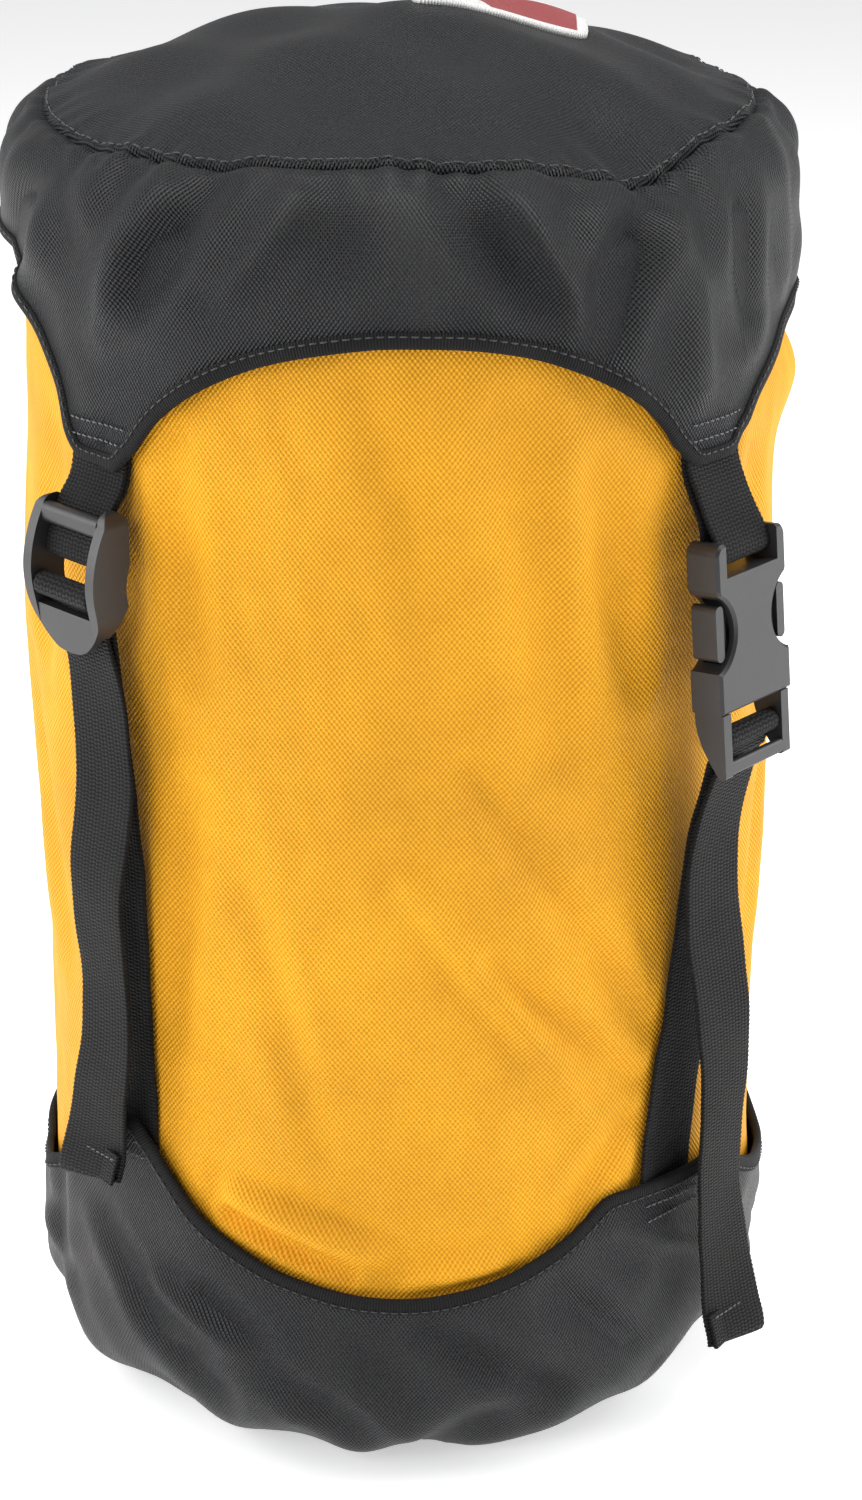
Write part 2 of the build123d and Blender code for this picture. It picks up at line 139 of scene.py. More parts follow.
def ripples(seed, az, z, turns_range, pitch_range, count=12):
    """Seeded sum of waves, of about unit height, that closes on itself round the axis."""
    rng = np.random.default_rng(seed)
    total = 0.0
    for _ in range(count):
        turns = int(rng.integers(turns_range[0], turns_range[1] + 1))
        pitch = rng.uniform(*pitch_range) * rng.choice((-1, 1))
        phase = rng.uniform(0, 2 * pi)
        total = total + rng.uniform(0.6, 1.0) * np.sin(np.radians(az) * turns + 2 * pi * z / pitch + phase)
    return total / sqrt(count)


def fold(az, z, start, end, width, depth):
    """Soft fold along the line from start to end, each (azimuth, z); negative depth is a valley."""
    across = 2.1                                    # millimetres of cloth in one degree
    x, y = turn(az, start[0]) * across, z - start[1]
    dx, dy = turn(end[0], start[0]) * across, end[1] - start[1]
    length = sqrt(dx * dx + dy * dy)
    along = np.clip((x * dx + y * dy) / length**2, 0, 1)
    gap = np.sqrt((x - along * dx) ** 2 + (y - along * dy) ** 2)
    taper = 0.25 + 0.75 * np.sin(pi * (0.12 + 0.76 * along))
    return depth * taper * (gauss(gap, width) - 0.45 * gauss(gap - 1.9 * width, width))


def catmull(points, step):
    """Smooth curve through the points, sampled about every step millimetres."""
    p = np.array(points, float)
    p = np.vstack([2 * p[0] - p[1], p, 2 * p[-1] - p[-2]])
    chord = np.linalg.norm(np.diff(p, axis=0), axis=1)
    slope = np.diff(p, axis=0) / chord[:, None]
    before, after = chord[:-1, None], chord[1:, None]
    pull = (slope[:-1] * after + slope[1:] * before) / (before + after)
    out = []
    for k in range(len(pull) - 1):
        a, b, reach = p[k + 1], p[k + 2], chord[k + 1]
        count = max(2, int(reach / step))
        t = (np.arange(count) / count)[:, None]
        rise = 3 * t**2 - 2 * t**3
        leave, arrive = t - 2 * t**2 + t**3, t**3 - t**2
        out.append(a + (b - a) * rise + reach * (pull[k] * leave + pull[k + 1] * arrive))
    return np.vstack(out + [p[-2]])


def resample(points, step, closed=False):
    """The same polyline with even steps."""
    p = np.vstack([points, points[:1]]) if closed else np.asarray(points)
    length = np.concatenate([[0], np.cumsum(np.linalg.norm(np.diff(p, axis=0), axis=1))])
    count = max(3, int(round(length[-1] / step)))
    at = np.linspace(0, length[-1], count, endpoint=not closed)
    return np.stack([np.interp(at, length, p[:, k]) for k in range(p.shape[1])], axis=1)


# ---- Mesh makers ----
def mesh_object(name, verts, faces, uvs, material):
    mesh = bpy.data.meshes.new(name)
    mesh.from_pydata((np.asarray(verts) * MM).tolist(), [], faces)
    layer = mesh.uv_layers.new(name="cloth")
    layer.data.foreach_set("uv", np.asarray(uvs, np.float32).ravel())
    mesh.polygons.foreach_set("use_smooth", [True] * len(mesh.polygons))
    mesh.materials.append(material)
    obj = bpy.data.objects.new(name, mesh)
    bpy.context.scene.collection.objects.link(obj)
    return obj


def grid_object(name, points, uv, material, pole=None, cap=None, flip=False):
    """Quads over points[i, j], whose last column joins the first. pole, a point and its uv, closes the
    first row, and cap, the uv of one face, closes the last. uv has one column more than points."""
    n, m = points.shape[:2]
    i, j = np.meshgrid(np.arange(n), np.arange(m - 1), indexing="ij")
    i, j = i.ravel(), j.ravel()
    nxt = (i + 1) % n
    corners = [(i, j, i), (nxt, j, i + 1), (nxt, j + 1, i + 1), (i, j + 1, i)]
    if flip:
        corners.reverse()
    faces = np.stack([a * m + b for a, b, _ in corners], axis=1).tolist()
    uvs = np.stack([uv[c, b] for _, b, c in corners], axis=1).reshape(-1, 2)
    verts = points.reshape(-1, 3)
    if pole is not None:
        verts = np.vstack([verts, [pole[0]]])
        fan_uv = []
        for k in range(n):
            tri = [(len(verts) - 1, pole[1]), (((k + 1) % n) * m, uv[k + 1, 0]), (k * m, uv[k, 0])]
            if flip:
                tri.reverse()
            faces.append([a for a, _ in tri])
            fan_uv += [b for _, b in tri]
        uvs = np.vstack([uvs, fan_uv])
    if cap is not None:
        faces.append([k * m + m - 1 for k in range(n)])
        uvs = np.vstack([uvs, cap])
    return mesh_object(name, verts, faces, uvs, material)


def thicken(obj, amount=CLOTH):
    """Gives a cloth grid its thickness on the inside."""
    layer = obj.modifiers.new("thickness", "SOLIDIFY")
    layer.thickness = amount * MM
    layer.offset = -1.0
    layer.use_even_offset = False
    return obj


def tube_faces(rings, size, closed):
    """Quads between rings of size points each, and caps where the run is open."""
    faces = []
    last = rings if closed else rings - 1
    for r in range(last):
        a, b = r * size, ((r + 1) % rings) * size
        for k in range(size):
            k2 = (k + 1) % size
            faces.append([a + k, a + k2, b + k2, b + k])
    if not closed:
        faces.append(list(range(size))[::-1])
        faces.append([(rings - 1) * size + k for k in range(size)])
    return faces


def ring_object(name, rings, uv, material, closed=False):
    """Skin over rings[r, k]; uv[r, k] has one more of each where it goes round."""
    count, size = rings.shape[:2]
    faces = tube_faces(count, size, closed)
    uvs = []
    for r in range(count if closed else count - 1):
        for k in range(size):
            uvs += [uv[r, k], uv[r, k + 1], uv[r + 1, k + 1], uv[r + 1, k]]
    if not closed:
        uvs += [uv[0, k] for k in range(size)][::-1]
        uvs += [uv[count - 1, k] for k in range(size)]
    return mesh_object(name, rings.reshape(-1, 3), faces, uvs, material)


# ---- Materials ----
class Graph:
    """Short way of wiring a material's nodes."""

    def __init__(self, name):
        self.material = bpy.data.materials.new(name)
        self.material.use_nodes = True
        self.tree = self.material.node_tree
        self.tree.nodes.clear()
        self.shader = self.add("ShaderNodeBsdfPrincipled")
        output = self.add("ShaderNodeOutputMaterial")
        self.tree.links.new(self.shader.outputs["BSDF"], output.inputs["Surface"])

    def add(self, kind, **settings):
        node = self.tree.nodes.new(kind)
        for key, value in settings.items():
            setattr(node, key, value)
        return node

    def feed(self, socket, value):
        if isinstance(value, bpy.types.NodeSocket):
            self.tree.links.new(value, socket)
        else:
            socket.default_value = value

    def maths(self, operation, a, b=0.0):
        node = self.add("ShaderNodeMath", operation=operation)
        self.feed(node.inputs[0], a)
        self.feed(node.inputs[1], b)
        return node.outputs[0]

    def uv(self):
        split = self.add("ShaderNodeSeparateXYZ")
        self.feed(split.inputs[0], self.add("ShaderNodeUVMap", uv_map="cloth").outputs["UV"])
        return split.outputs["X"], split.outputs["Y"]

    def wave(self, value, pitch):
        return self.maths("SINE", self.maths("MULTIPLY", value, pi / pitch))

    def noise(self, scale, detail=3.0, rough=0.5):
        place = self.add("ShaderNodeTexCoord")
        node = self.add("ShaderNodeTexNoise")
        self.feed(node.inputs["Vector"], place.outputs["Object"])
        self.feed(node.inputs["Scale"], scale)
        self.feed(node.inputs["Detail"], detail)
        self.feed(node.inputs["Roughness"], rough)
        return node.outputs["Fac"]

    def spread(self, value, low, high, out_low, out_high):
        node = self.add("ShaderNodeMapRange")
        for socket, item in zip(node.inputs, (value, low, high, out_low, out_high)):
            self.feed(socket, item)
        return node.outputs[0]

    def blend(self, factor, a, b):
        node = self.add("ShaderNodeMix", data_type="RGBA")
        self.feed(node.inputs["Factor"], factor)
        self.feed(node.inputs[6], (*a, 1.0) if isinstance(a, tuple) else a)
        self.feed(node.inputs[7], (*b, 1.0) if isinstance(b, tuple) else b)
        return node.outputs[2]

    def bump(self, height, distance, strength=1.0):
        node = self.add("ShaderNodeBump")
        self.feed(node.inputs["Height"], height)
        self.feed(node.inputs["Distance"], distance)
        self.feed(node.inputs["Strength"], strength)
        self.feed(self.shader.inputs["Normal"], node.outputs["Normal"])

    def finish(self, colour, rough, **sockets):
        self.feed(self.shader.inputs["Base Color"], colour)
        self.feed(self.shader.inputs["Roughness"], rough)
        for name, value in sockets.items():
            self.feed(self.shader.inputs[name.replace("_", " ")], value)
        return self.material


def woven(name, light, dark, pitch, rows, depth, rough, sheen, sheen_tint, specular):
    """Oxford weave: rounded thread crossings in a chequered lattice, pitch and rows in mm."""
    g = Graph(name)
    u, v = g.uv()
    lattice = g.maths("MULTIPLY", g.wave(u, pitch), g.wave(v, rows))
    fuzz = g.noise(1400.0, 2.0, 0.6)
    height = g.maths("ADD", lattice, g.maths("MULTIPLY", fuzz, 0.5))
    # Painted highlight and shade: the thread crowns take the light colour and the gaps between them the
    # dark one.
    crown = g.spread(lattice, -0.9, 0.9, 0.0, 1.0)
    weave = g.blend(crown, dark, light)
    patchy = g.spread(g.noise(22.0, 4.0, 0.6), 0.3, 0.7, 0.86, 1.08)
    tone = g.add("ShaderNodeHueSaturation")
    g.feed(tone.inputs["Color"], weave)
    g.feed(tone.inputs["Value"], patchy)
    g.bump(height, depth * MM, 0.8)
    return g.finish(tone.outputs["Color"], g.spread(crown, 0, 1, rough + 0.12, rough),
                    Sheen_Weight=sheen, Sheen_Roughness=0.45, Sheen_Tint=(*sheen_tint, 1.0),
                    Specular_IOR_Level=specular)


def ribbed_webbing():
    """Nylon webbing: fine cross ribs, broken into lengthways columns."""
    g = Graph("ribbed_webbing")
    u, v = g.uv()
    column = g.wave(u, 1.55)
    rib = g.wave(g.maths("ADD", v, g.maths("MULTIPLY", g.maths("SIGN", column), 0.14)), 0.62)
    height = g.maths("ADD", g.maths("MULTIPLY", rib, 0.75),
                     g.maths("MULTIPLY", g.maths("ABSOLUTE", column), 0.7))
    height = g.maths("ADD", height, g.maths("MULTIPLY", g.noise(1100.0), 0.6))
    # Painted shade and highlight: the webbing is coloured darker in its rib valleys and lighter on the rib
    # crowns.
    crown = g.spread(height, -0.4, 1.5, 0.0, 1.0)
    worn = g.spread(g.noise(60.0, 4.0), 0.35, 0.7, 0.0, 0.35)
    colour = g.blend(worn, g.blend(crown, (0.002, 0.002, 0.002), (0.012, 0.012, 0.012)),
                     (0.019, 0.019, 0.020))
    g.bump(height, 0.28 * MM, 0.9)
    return g.finish(colour, g.spread(crown, 0, 1, 0.85, 0.6), Sheen_Weight=0.03, Sheen_Roughness=0.4,
                    Specular_IOR_Level=0.16)


def tape_material():
    """Grosgrain binding tape: cross ribs along its length."""
    g = Graph("binding_tape")
    rib = g.wave(g.uv()[0], 0.45)
    height = g.maths("ADD", rib, g.maths("MULTIPLY", g.noise(900.0), 0.7))
    shade = g.spread(height, -1.0, 1.6, 0.0, 1.0)
    g.bump(height, 0.15 * MM, 0.7)
    return g.finish(g.blend(shade, (0.002, 0.002, 0.002), (0.013, 0.013, 0.014)), 0.72,
                    Sheen_Weight=0.03, Sheen_Roughness=0.4, Specular_IOR_Level=0.16)


def thread_material(name, colour):
    g = Graph(name)
    twist = g.noise(1700.0, 2.0)
    light = tuple(min(1.0, c * 1.7 + 0.01) for c in colour)
    g.bump(twist, 0.12 * MM, 0.6)
    return g.finish(g.blend(g.spread(twist, 0.35, 0.65, 0, 1), colour, light), 0.55,
                    Sheen_Weight=0.2, Sheen_Roughness=0.4)


def moulded_plastic():
    """Satin acetal with the fine grain of the mould and a few paler scuffs."""
    g = Graph("moulded_plastic")
    grain = g.noise(2600.0, 2.0, 0.6)
    scuff = g.spread(g.noise(240.0, 5.0, 0.65), 0.62, 0.74, 0.0, 0.5)
    colour = g.blend(scuff, g.blend(g.noise(40.0), (0.015, 0.015, 0.016), (0.022, 0.022, 0.0235)),
                     (0.044, 0.044, 0.047))
    g.bump(grain, 0.05 * MM, 0.5)
    return g.finish(colour, g.spread(grain, 0.3, 0.7, 0.34, 0.46), Specular_IOR_Level=0.5)


def badge_material():
    """Embroidered patch: white border, white field at one end and red at the other."""
    g = Graph("badge")
    u, v = g.uv()
    thread = g.wave(g.maths("ADD", u, g.maths("MULTIPLY", v, 0.55)), 0.42)
    edge_u = g.maths("SUBTRACT", g.maths("ABSOLUTE", u), 23.6)
    edge_v = g.maths("SUBTRACT", g.maths("ABSOLUTE", v), 12.6)
    border = g.spread(g.maths("MAXIMUM", edge_u, edge_v), 0.0, 0.3, 0.0, 1.0)
    field = g.spread(g.maths("ADD", u, g.maths("MULTIPLY", v, 0.35)), -8.0, -7.6, 0.0, 1.0)
    colour = g.blend(field, (0.78, 0.78, 0.76), (0.30, 0.006, 0.010))
    colour = g.blend(border, colour, (0.80, 0.80, 0.78))
    # Painted shade: the grooves between the satin threads are darkened.
    colour = g.blend(g.spread(thread, -1, 1, 0.22, 0.0), colour, (0.02, 0.02, 0.02))
    g.bump(thread, 0.25 * MM, 0.8)
    return g.finish(colour, 0.5, Sheen_Weight=0.2, Sheen_Roughness=0.4)


def brushed_metal():
    g = Graph("eyelet_metal")
    marks = g.noise(700.0, 5.0, 0.7)
    g.bump(marks, 0.04 * MM, 0.4)
    colour = g.blend(marks, (0.34, 0.34, 0.35), (0.52, 0.52, 0.53))
    return g.finish(colour, g.spread(marks, 0.3, 0.7, 0.25, 0.42), Metallic=1.0)


def floor_material():
    g = Graph("pale_floor")
    speck = g.noise(6.0, 2.0)
    return g.finish(g.blend(speck, (0.90, 0.90, 0.905), (0.93, 0.93, 0.935)), 0.7,
                    Emission_Color=(1.0, 1.0, 1.0, 1.0), Emission_Strength=0.48)


# In each weave the first colour is the painted highlight on the thread crowns and the second the painted
# shade between them.
YELLOW = woven("yellow_oxford", (0.92, 0.46, 0.022), (0.60, 0.235, 0.004), 0.80, 1.0, 0.28, 0.55,
               0.03, (1.0, 0.8, 0.45), 0.18)
BLACK = woven("black_oxford", (0.028, 0.029, 0.032), (0.0005, 0.0005, 0.0006), 0.66, 0.90, 0.75, 0.33,
              0.010, (0.8, 0.85, 0.95), 0.29)
LOAD = woven("packed_clothing", (0.10, 0.11, 0.13), (0.05, 0.055, 0.07), 0.7, 0.7, 0.2, 0.8,
             0.2, (0.8, 0.8, 0.9), 0.2)
WEBBING = ribbed_webbing()
TAPE = tape_material()
GREY_THREAD = thread_material("grey_thread", (0.075, 0.075, 0.08))
BLACK_THREAD = thread_material("black_thread", (0.018, 0.018, 0.02))
YELLOW_THREAD = thread_material("yellow_thread", (0.50, 0.22, 0.01))
PLASTIC = moulded_plastic()
BADGE = badge_material()
METAL = brushed_metal()


# ---- Cloth shells ----
class Shell:
    """Cloth turned round the axis. profile is a polyline of (r, z); bump(az, s, z) pushes the cloth
    out along its normal, and sag(az, s, z) lowers it. side is 1 or -1, so that out is outwards."""

    def __init__(self, profile, side, bump, sag=None):
        path = resample(np.array(profile, float), 0.5)
        self.s = np.concatenate([[0], np.cumsum(np.linalg.norm(np.diff(path, axis=0), axis=1))])
        self.r, self.z = path[:, 0], path[:, 1]
        along = unit(np.gradient(path, axis=0))
        kernel = np.ones(9) / 9
        self.nr = np.convolve(np.pad(side * along[:, 1], 4, "edge"), kernel, "valid")
        self.nz = np.convolve(np.pad(-side * along[:, 0], 4, "edge"), kernel, "valid")
        self.bump, self.sag = bump, sag

    def at(self, az, s, out=0.0):
        az, s = np.broadcast_arrays(np.asarray(az, float), np.asarray(s, float))
        r, z = np.interp(s, self.s, self.r), np.interp(s, self.s, self.z)
        nr, nz = np.interp(s, self.s, self.nr), np.interp(s, self.s, self.nz)
        push = self.bump(az, s, z) + out
        drop = self.sag(az, s, z) if self.sag else 0.0
        r, z = r + nr * push, z + nz * push - drop
        t = np.radians(az)
        return np.stack([r * np.sin(t), -r * np.cos(t), z], axis=-1)

    def s_of_z(self, z, upward):
        """Where the vertical wall of the shell reaches the height z."""
        end = self.s[-1]
        return end - (self.z[-1] - z) if upward else end - (z - self.z[-1])


def wrapped_uv(az, s, radius):
    """Cloth coordinates in millimetres, with one more column than az so that the last face closes."""
    az = np.append(az, az[0] + 360.0)[:, None]
    return pair(np.radians(az) * radius, np.vstack([s, s[:1]]))


def shell_panel(name, shell, az, s, radius, material, flip):
    points = shell.at(az[:, None], s)
    return thicken(grid_object(name, points, wrapped_uv(az, s, radius), material, flip=flip))


def scallop(az, arms, crowns, springing, ends):
    """Height of a scalloped edge: a half-ellipse between each two arms, and flat across an arm.
    arms are azimuths in order, crowns the heights of the arches after them, ends the arms' heights."""
    az = np.asarray(az, float)
    sign = 1.0 if crowns[0] > springing else -1.0
    edge = np.zeros_like(az)
    for k, (arm, end) in enumerate(zip(arms, ends)):
        nxt = arms[(k + 1) % len(arms)]
        span = (nxt - arm) % 360.0
        middle = arm + span / 2
        half = span / 2 - ARM_HALF_ANGLE
        gap = turn(az, middle)
        inside = np.abs(gap) < half
        level = np.clip(np.sin(np.radians(gap)) / sin(radians(half)), -1, 1)
        arch = springing + (crowns[k] - springing) * np.sqrt(1 - level**2)
        edge = np.where(inside, arch, edge)
        edge = np.where(np.abs(turn(az, arm)) <= ARM_HALF_ANGLE, end - 50.0 * sign, edge)
    for arm, end in zip(arms, ends):
        offset = np.abs(turn(az, arm)) * (pi / 180) * CAP_R
        half_arm = ARM_HALF_ANGLE * (pi / 180) * CAP_R
        square = abs(end - springing) < 8.0
        corner = np.clip((offset - half_arm + CORNER_R) / CORNER_R, 0, 1) * square
        level = end + sign * CORNER_R * (1 - np.sqrt(1 - corner**2))
        near = offset < half_arm + (12.0 if square else 40.0)
        edge = np.where(near & (sign * (edge - level) < 0), level, edge)
    return edge


# ---- Tube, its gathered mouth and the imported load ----
TUCKS = (
    ((-26, 100), (-4, 84), 4.2, 2.9),
    ((-27, 92), (-8, 76), 2.6, -2.6),
    ((2, 74), (14, 80), 4.0, 1.6),
    ((4, 70), (20, 74), 3.0, -1.4),
    ((28, 96), (36, 118), 5.0, -1.6),
    ((17, 350), (24, 250), 8.0, -1.9),
    ((30, 330), (36, 268), 7.0, -2.2),
    ((-34, 340), (-31, 270), 6.0, -1.6),
    ((10, 246), (40, 150), 5.0, -1.5),
    ((2, 210), (32, 118), 4.5, 1.2),
    ((14, 180), (38, 132), 4.0, -1.2),
    ((-33, 230), (-36, 150), 6.0, -1.4),
    ((-4, 362), (4, 300), 7.0, -1.0),
    ((-22, 200), (-12, 120), 6.0, -0.9),
    ((66, 320), (72, 240), 8.0, -2.0),
    ((80, 236), (70, 150), 7.0, -1.8),
    ((96, 300), (104, 200), 9.0, -1.8),
    ((-62, 330), (-70, 250), 8.0, -1.8),
    ((-78, 250), (-66, 160), 8.0, -1.9),
    ((-100, 320), (-94, 220), 9.0, -1.7),
    ((150, 340), (158, 250), 8.0, -2.0),
    ((196, 260), (182, 150), 7.0, -1.6),
    ((215, 340), (209, 240), 7.0, -1.8),
    ((170, 130), (196, 92), 5.0, 1.8),
    ((160, 110), (176, 82), 4.0, -1.6),
)

TUCK_DEPTH = 4.6         # deepest dent, which keeps the cloth off the load


def tube_bump(az, s, z):
    free = smooth(z, 62, 84) * (1 - smooth(z, 392, 420))
    soft = 0.75 * ripples(11, az, z, (2, 7), (160, 420)) + 0.32 * ripples(12, az, z, (9, 22), (60, 160), 16)
    fine = 0.17 * ripples(13, az, z, (20, 60), (25, 70), 18)
    named = 1.6875 * sum(fold(az, z, *tuck) for tuck in TUCKS)
    right_bulge = 9.0 * gauss(turn(az, 97), 17) * gauss(z - 336, 15)
    left_bulge = 2.2 * gauss(turn(az, -92), 26) * gauss(z - 268, 40)
    back_bulge = 3.0 * gauss(turn(az, 181), 26) * gauss(z - 340, 18)
    cinch = 0.0
    for strap in (-LEFT_AZ, RIGHT_AZ, LEFT_AZ - 180, 180 - RIGHT_AZ):
        cinch = cinch - 1.3 * gauss(turn(az, strap), 9) * smooth(z, 96, 150) * (1 - smooth(z, 250, 330))
    belly = 0.9 * np.sin(pi * np.clip((z - 60) / 300, 0, 1)) - 1.0
    under_lid = smooth(z - lid_edge(az), -5.0, 18.0)
    mouth = 1.5 * smooth(s, 440, 505) * np.cos(np.radians(az) * 22 + 0.8 * np.sin(np.radians(az) * 5))
    free_rise = 1.8 + 6.0 * (1 - smooth(z, 130, 200))
    cloth = soft + fine + named + cinch + belly
    limit = np.where(cloth > 0, free_rise, TUCK_DEPTH)
    cloth = limit * np.tanh(cloth / limit)
    shape = cloth + right_bulge + left_bulge + back_bulge
    shape = shape * (1 - under_lid) + under_lid * np.minimum(0.4 * shape, 0.0) - 1.0 * under_lid
    return free * shape + mouth


TUBE_PROFILE = [(TUBE_R, TUBE_HEM_Z), (TUBE_R, 200), (TUBE_R, 320), (TUBE_R, 350), (117.6, 368),
                (115.0, 388), (110.5, 402), (104, 412.5), (96, 420.5), (86, 426), (72, 430), (54, 432.6),
                (40, 433.9), (MOUTH_R + 1, 434.9)]
LOAD_FLOOR_Z = 1.6
LOAD_PROFILE = [(80, LOAD_FLOOR_Z), (104, 10), (115, 36), (116.4, 66), (116.5, 200), (116.5, 330),
                (116, 352), (112, 385), (100, 410), (78, 423), (40, 430), (6, 432.4)]


def tube():
    shell = Shell(catmull(TUBE_PROFILE, 1.0), 1, tube_bump)
    az = circle(620)
    s = np.linspace(0, shell.s[-1], 250)[None, :] + 0 * az[:, None]
    return shell, shell_panel("tube_cloth", shell, az, s, TUBE_R, YELLOW, False)


def load_bump(az, s, z):
    return -6.4 + 0.7 * ripples(31, az, z, (3, 12), (40, 160))


def load():
    """The stuffed contents, clear of the tube's deepest dents."""
    shell = Shell(catmull(LOAD_PROFILE, 2.0), 1, load_bump)
    az = circle(120)
    s = np.linspace(0, shell.s[-1], 110)[None, :] + 0 * az[:, None]
    points = shell.at(az[:, None], s)
    floor = (np.array([0, 0, LOAD_FLOOR_Z]), (0.0, -80.0))
    return grid_object("packed_load", points, wrapped_uv(az, s, 100), LOAD, pole=floor,
                       cap=points[:, -1, :2])


def drawcord_channel():
    az = np.linspace(0, 360, 264, endpoint=False)
    t = np.radians(az)[:, None]
    turn_round = np.linspace(0, 2 * pi, 20, endpoint=False)[None, :]
    pleat = np.cos(22 * t + 0.8 * np.sin(5 * t))
    minor = CHANNEL_R * (1 + 0.10 * pleat + 0.04 * np.cos(44 * t + 1))
    major = CHANNEL_RING_R + 0.7 * np.cos(22 * t + 1.2)
    r = major + minor * np.cos(turn_round)
    z = CHANNEL_Z + minor * np.sin(turn_round) * 1.05
    rings = np.concatenate([plan(r, t), z[..., None]], axis=-1)
    u = np.radians(np.append(az, 360.0))[:, None] * CHANNEL_RING_R
    v = np.linspace(0, 2 * pi * CHANNEL_R, 21)[None, :]
    return ring_object("gathered_channel", rings, pair(u, v), YELLOW, closed=True)


def grommet():
    """Rolled metal ring set in the front of the channel."""
    t = np.linspace(0, 2 * pi, 40, endpoint=False)[:, None]
    k = np.linspace(0, 2 * pi, 14, endpoint=False)[None, :]
    r = 2.65 + 0.95 * np.cos(k)
    front = -CHANNEL_RING_R - CHANNEL_R * 1.12
    depth = front - 0.55 * np.sin(k) + 0 * t
    rings = np.stack([r * np.sin(t), depth, CHANNEL_Z + r * np.cos(t)], axis=-1)
    uv = pair(np.linspace(0, 16, 41)[:, None], np.linspace(0, 6, 15)[None, :])
    return ring_object("channel_grommet", rings, uv, METAL, closed=True)


# ---- Lid ----
DOME_R = (LID_SEAM[0] ** 2 + (LID_TOP - LID_SEAM[1]) ** 2) / (2 * (LID_TOP - LID_SEAM[1]))
DOME_END = asin(LID_SEAM[0] / DOME_R)
SEAM_S = DOME_R * DOME_END


def lid_profile():
    """Dome, roll over the seam, then straight down to the arms' ends."""
    turns = np.linspace(0, DOME_END, 60)
    dome = [(DOME_R * sin(t), LID_TOP - DOME_R * (1 - cos(t))) for t in turns]
    start, end = np.array(LID_SEAM), np.array([CAP_R, LID_ROLL_Z])
    pull = 20.0
    p1 = start + pull * 0.75 * np.array([cos(DOME_END), -sin(DOME_END)])
    p2 = end + np.array([0, pull * 0.8])
    t = np.linspace(0, 1, 40)[1:, None]
    roll = (1 - t) ** 3 * start + 3 * (1 - t) ** 2 * t * p1 + 3 * (1 - t) * t**2 * p2 + t**3 * end
    return dome + [tuple(p) for p in roll] + [(CAP_R, LID_ARM_Z)]


LID_CLEAR = -2.4         # the lid's cloth comes no nearer to the tube than this

LID_FOLDS = (
    ((-58, 418), (-78, 372), 8.0, -2.6),
    ((-36, 420), (-46, 372), 6.0, 1.6),
    ((-26, 418), (-38, 384), 6.0, -1.8),
    ((-14, 416), (-24, 388), 5.0, 1.1),
    ((8, 419), (18, 388), 6.0, -1.3),
    ((16, 420), (26, 380), 5.0, 1.0),
    ((34, 410), (30, 372), 6.5, -2.4),
    ((42, 408), (46, 356), 7.0, 2.0),
    ((54, 414), (58, 372), 7.0, -2.8),
    ((66, 417), (76, 378), 8.0, 1.6),
    ((86, 420), (96, 380), 8.0, -2.2),
    ((-88, 420), (-96, 392), 7.0, -1.8),
    ((118, 420), (108, 372), 8.0, -2.2),
    ((140, 418), (150, 374), 7.0, 1.6),
    ((165, 420), (158, 386), 6.0, -1.8),
    ((190, 420), (200, 386), 7.0, -1.8),
    ((222, 418), (216, 360), 7.0, 1.6),
    ((236, 420), (246, 388), 7.0, -2.2),
)


def lid_bump(az, s, z):
    from_seam = s - SEAM_S
    seam = -1.5 * gauss(from_seam, 1.4) + 0.7 * gauss(from_seam - 4.0, 2.6) \
        + 0.35 * gauss(from_seam + 3.2, 2.2)
    wobble = 3.0 * ripples(41, az, 0.0, (3, 9), (50, 90))
    pucker = gauss(from_seam, 9) * 0.75 * ripples(42, az + wobble, s, (40, 74), (60, 140), 10)
    gather = gauss(from_seam - 18, 26) * 1.6 * ripples(43, az, s, (16, 34), (90, 240), 14)
    wall = smooth(s, SEAM_S + 6, SEAM_S + 30)
    slack = wall * (1.6 * ripples(44, az, z, (3, 9), (90, 220))
                    + 0.65 * ripples(45, az, z, (12, 30), (34, 90), 18))
    named = sum(fold(az, z, *item) for item in LID_FOLDS) * smooth(s, SEAM_S - 2, SEAM_S + 12)
    top = 1 - smooth(s, SEAM_S - 24, SEAM_S - 4)
    x, y = s * np.sin(np.radians(az)), s * np.cos(np.radians(az))
    lumps = 1.7 * np.sin(x / 27 + 0.6) * np.cos(y / 31 - 0.4) + 0.9 * np.sin((x + y) / 15 + 1.0) \
        + 0.7 * np.cos((x - 1.3 * y) / 12)
    hem = 0.25 * ripples(46, az, 0.0, (24, 60), (50, 90)) * smooth(s, SEAM_S + 70, SEAM_S + 100)
    shape = seam + pucker + gather + slack + 1.8 * named + top * (1.3 * lumps - 1.4) + hem - 0.1
    return np.maximum(shape, LID_CLEAR * wall + 9.0 * (wall - 1))


def lid_sag(az, s, z):
    dip = 9.5 * gauss(turn(az, 38), 13) + 3.5 * gauss(turn(az, -52), 22) + 2.5 * gauss(turn(az, 160), 18)
    dip = dip + 0.9 * ripples(47, az, 0.0, (5, 16), (50, 90))
    return dip * gauss(s - SEAM_S, 26)


LID_ARMS = (-LEFT_AZ, RIGHT_AZ, 180 - RIGHT_AZ, 180 + LEFT_AZ)
LID_CROWNS = (376.0, 362.0, 376.0, 387.0)


def lid_edge(az):
    return scallop(az, LID_ARMS, LID_CROWNS, LID_SPRING_Z, (LID_ARM_Z,) * 4)


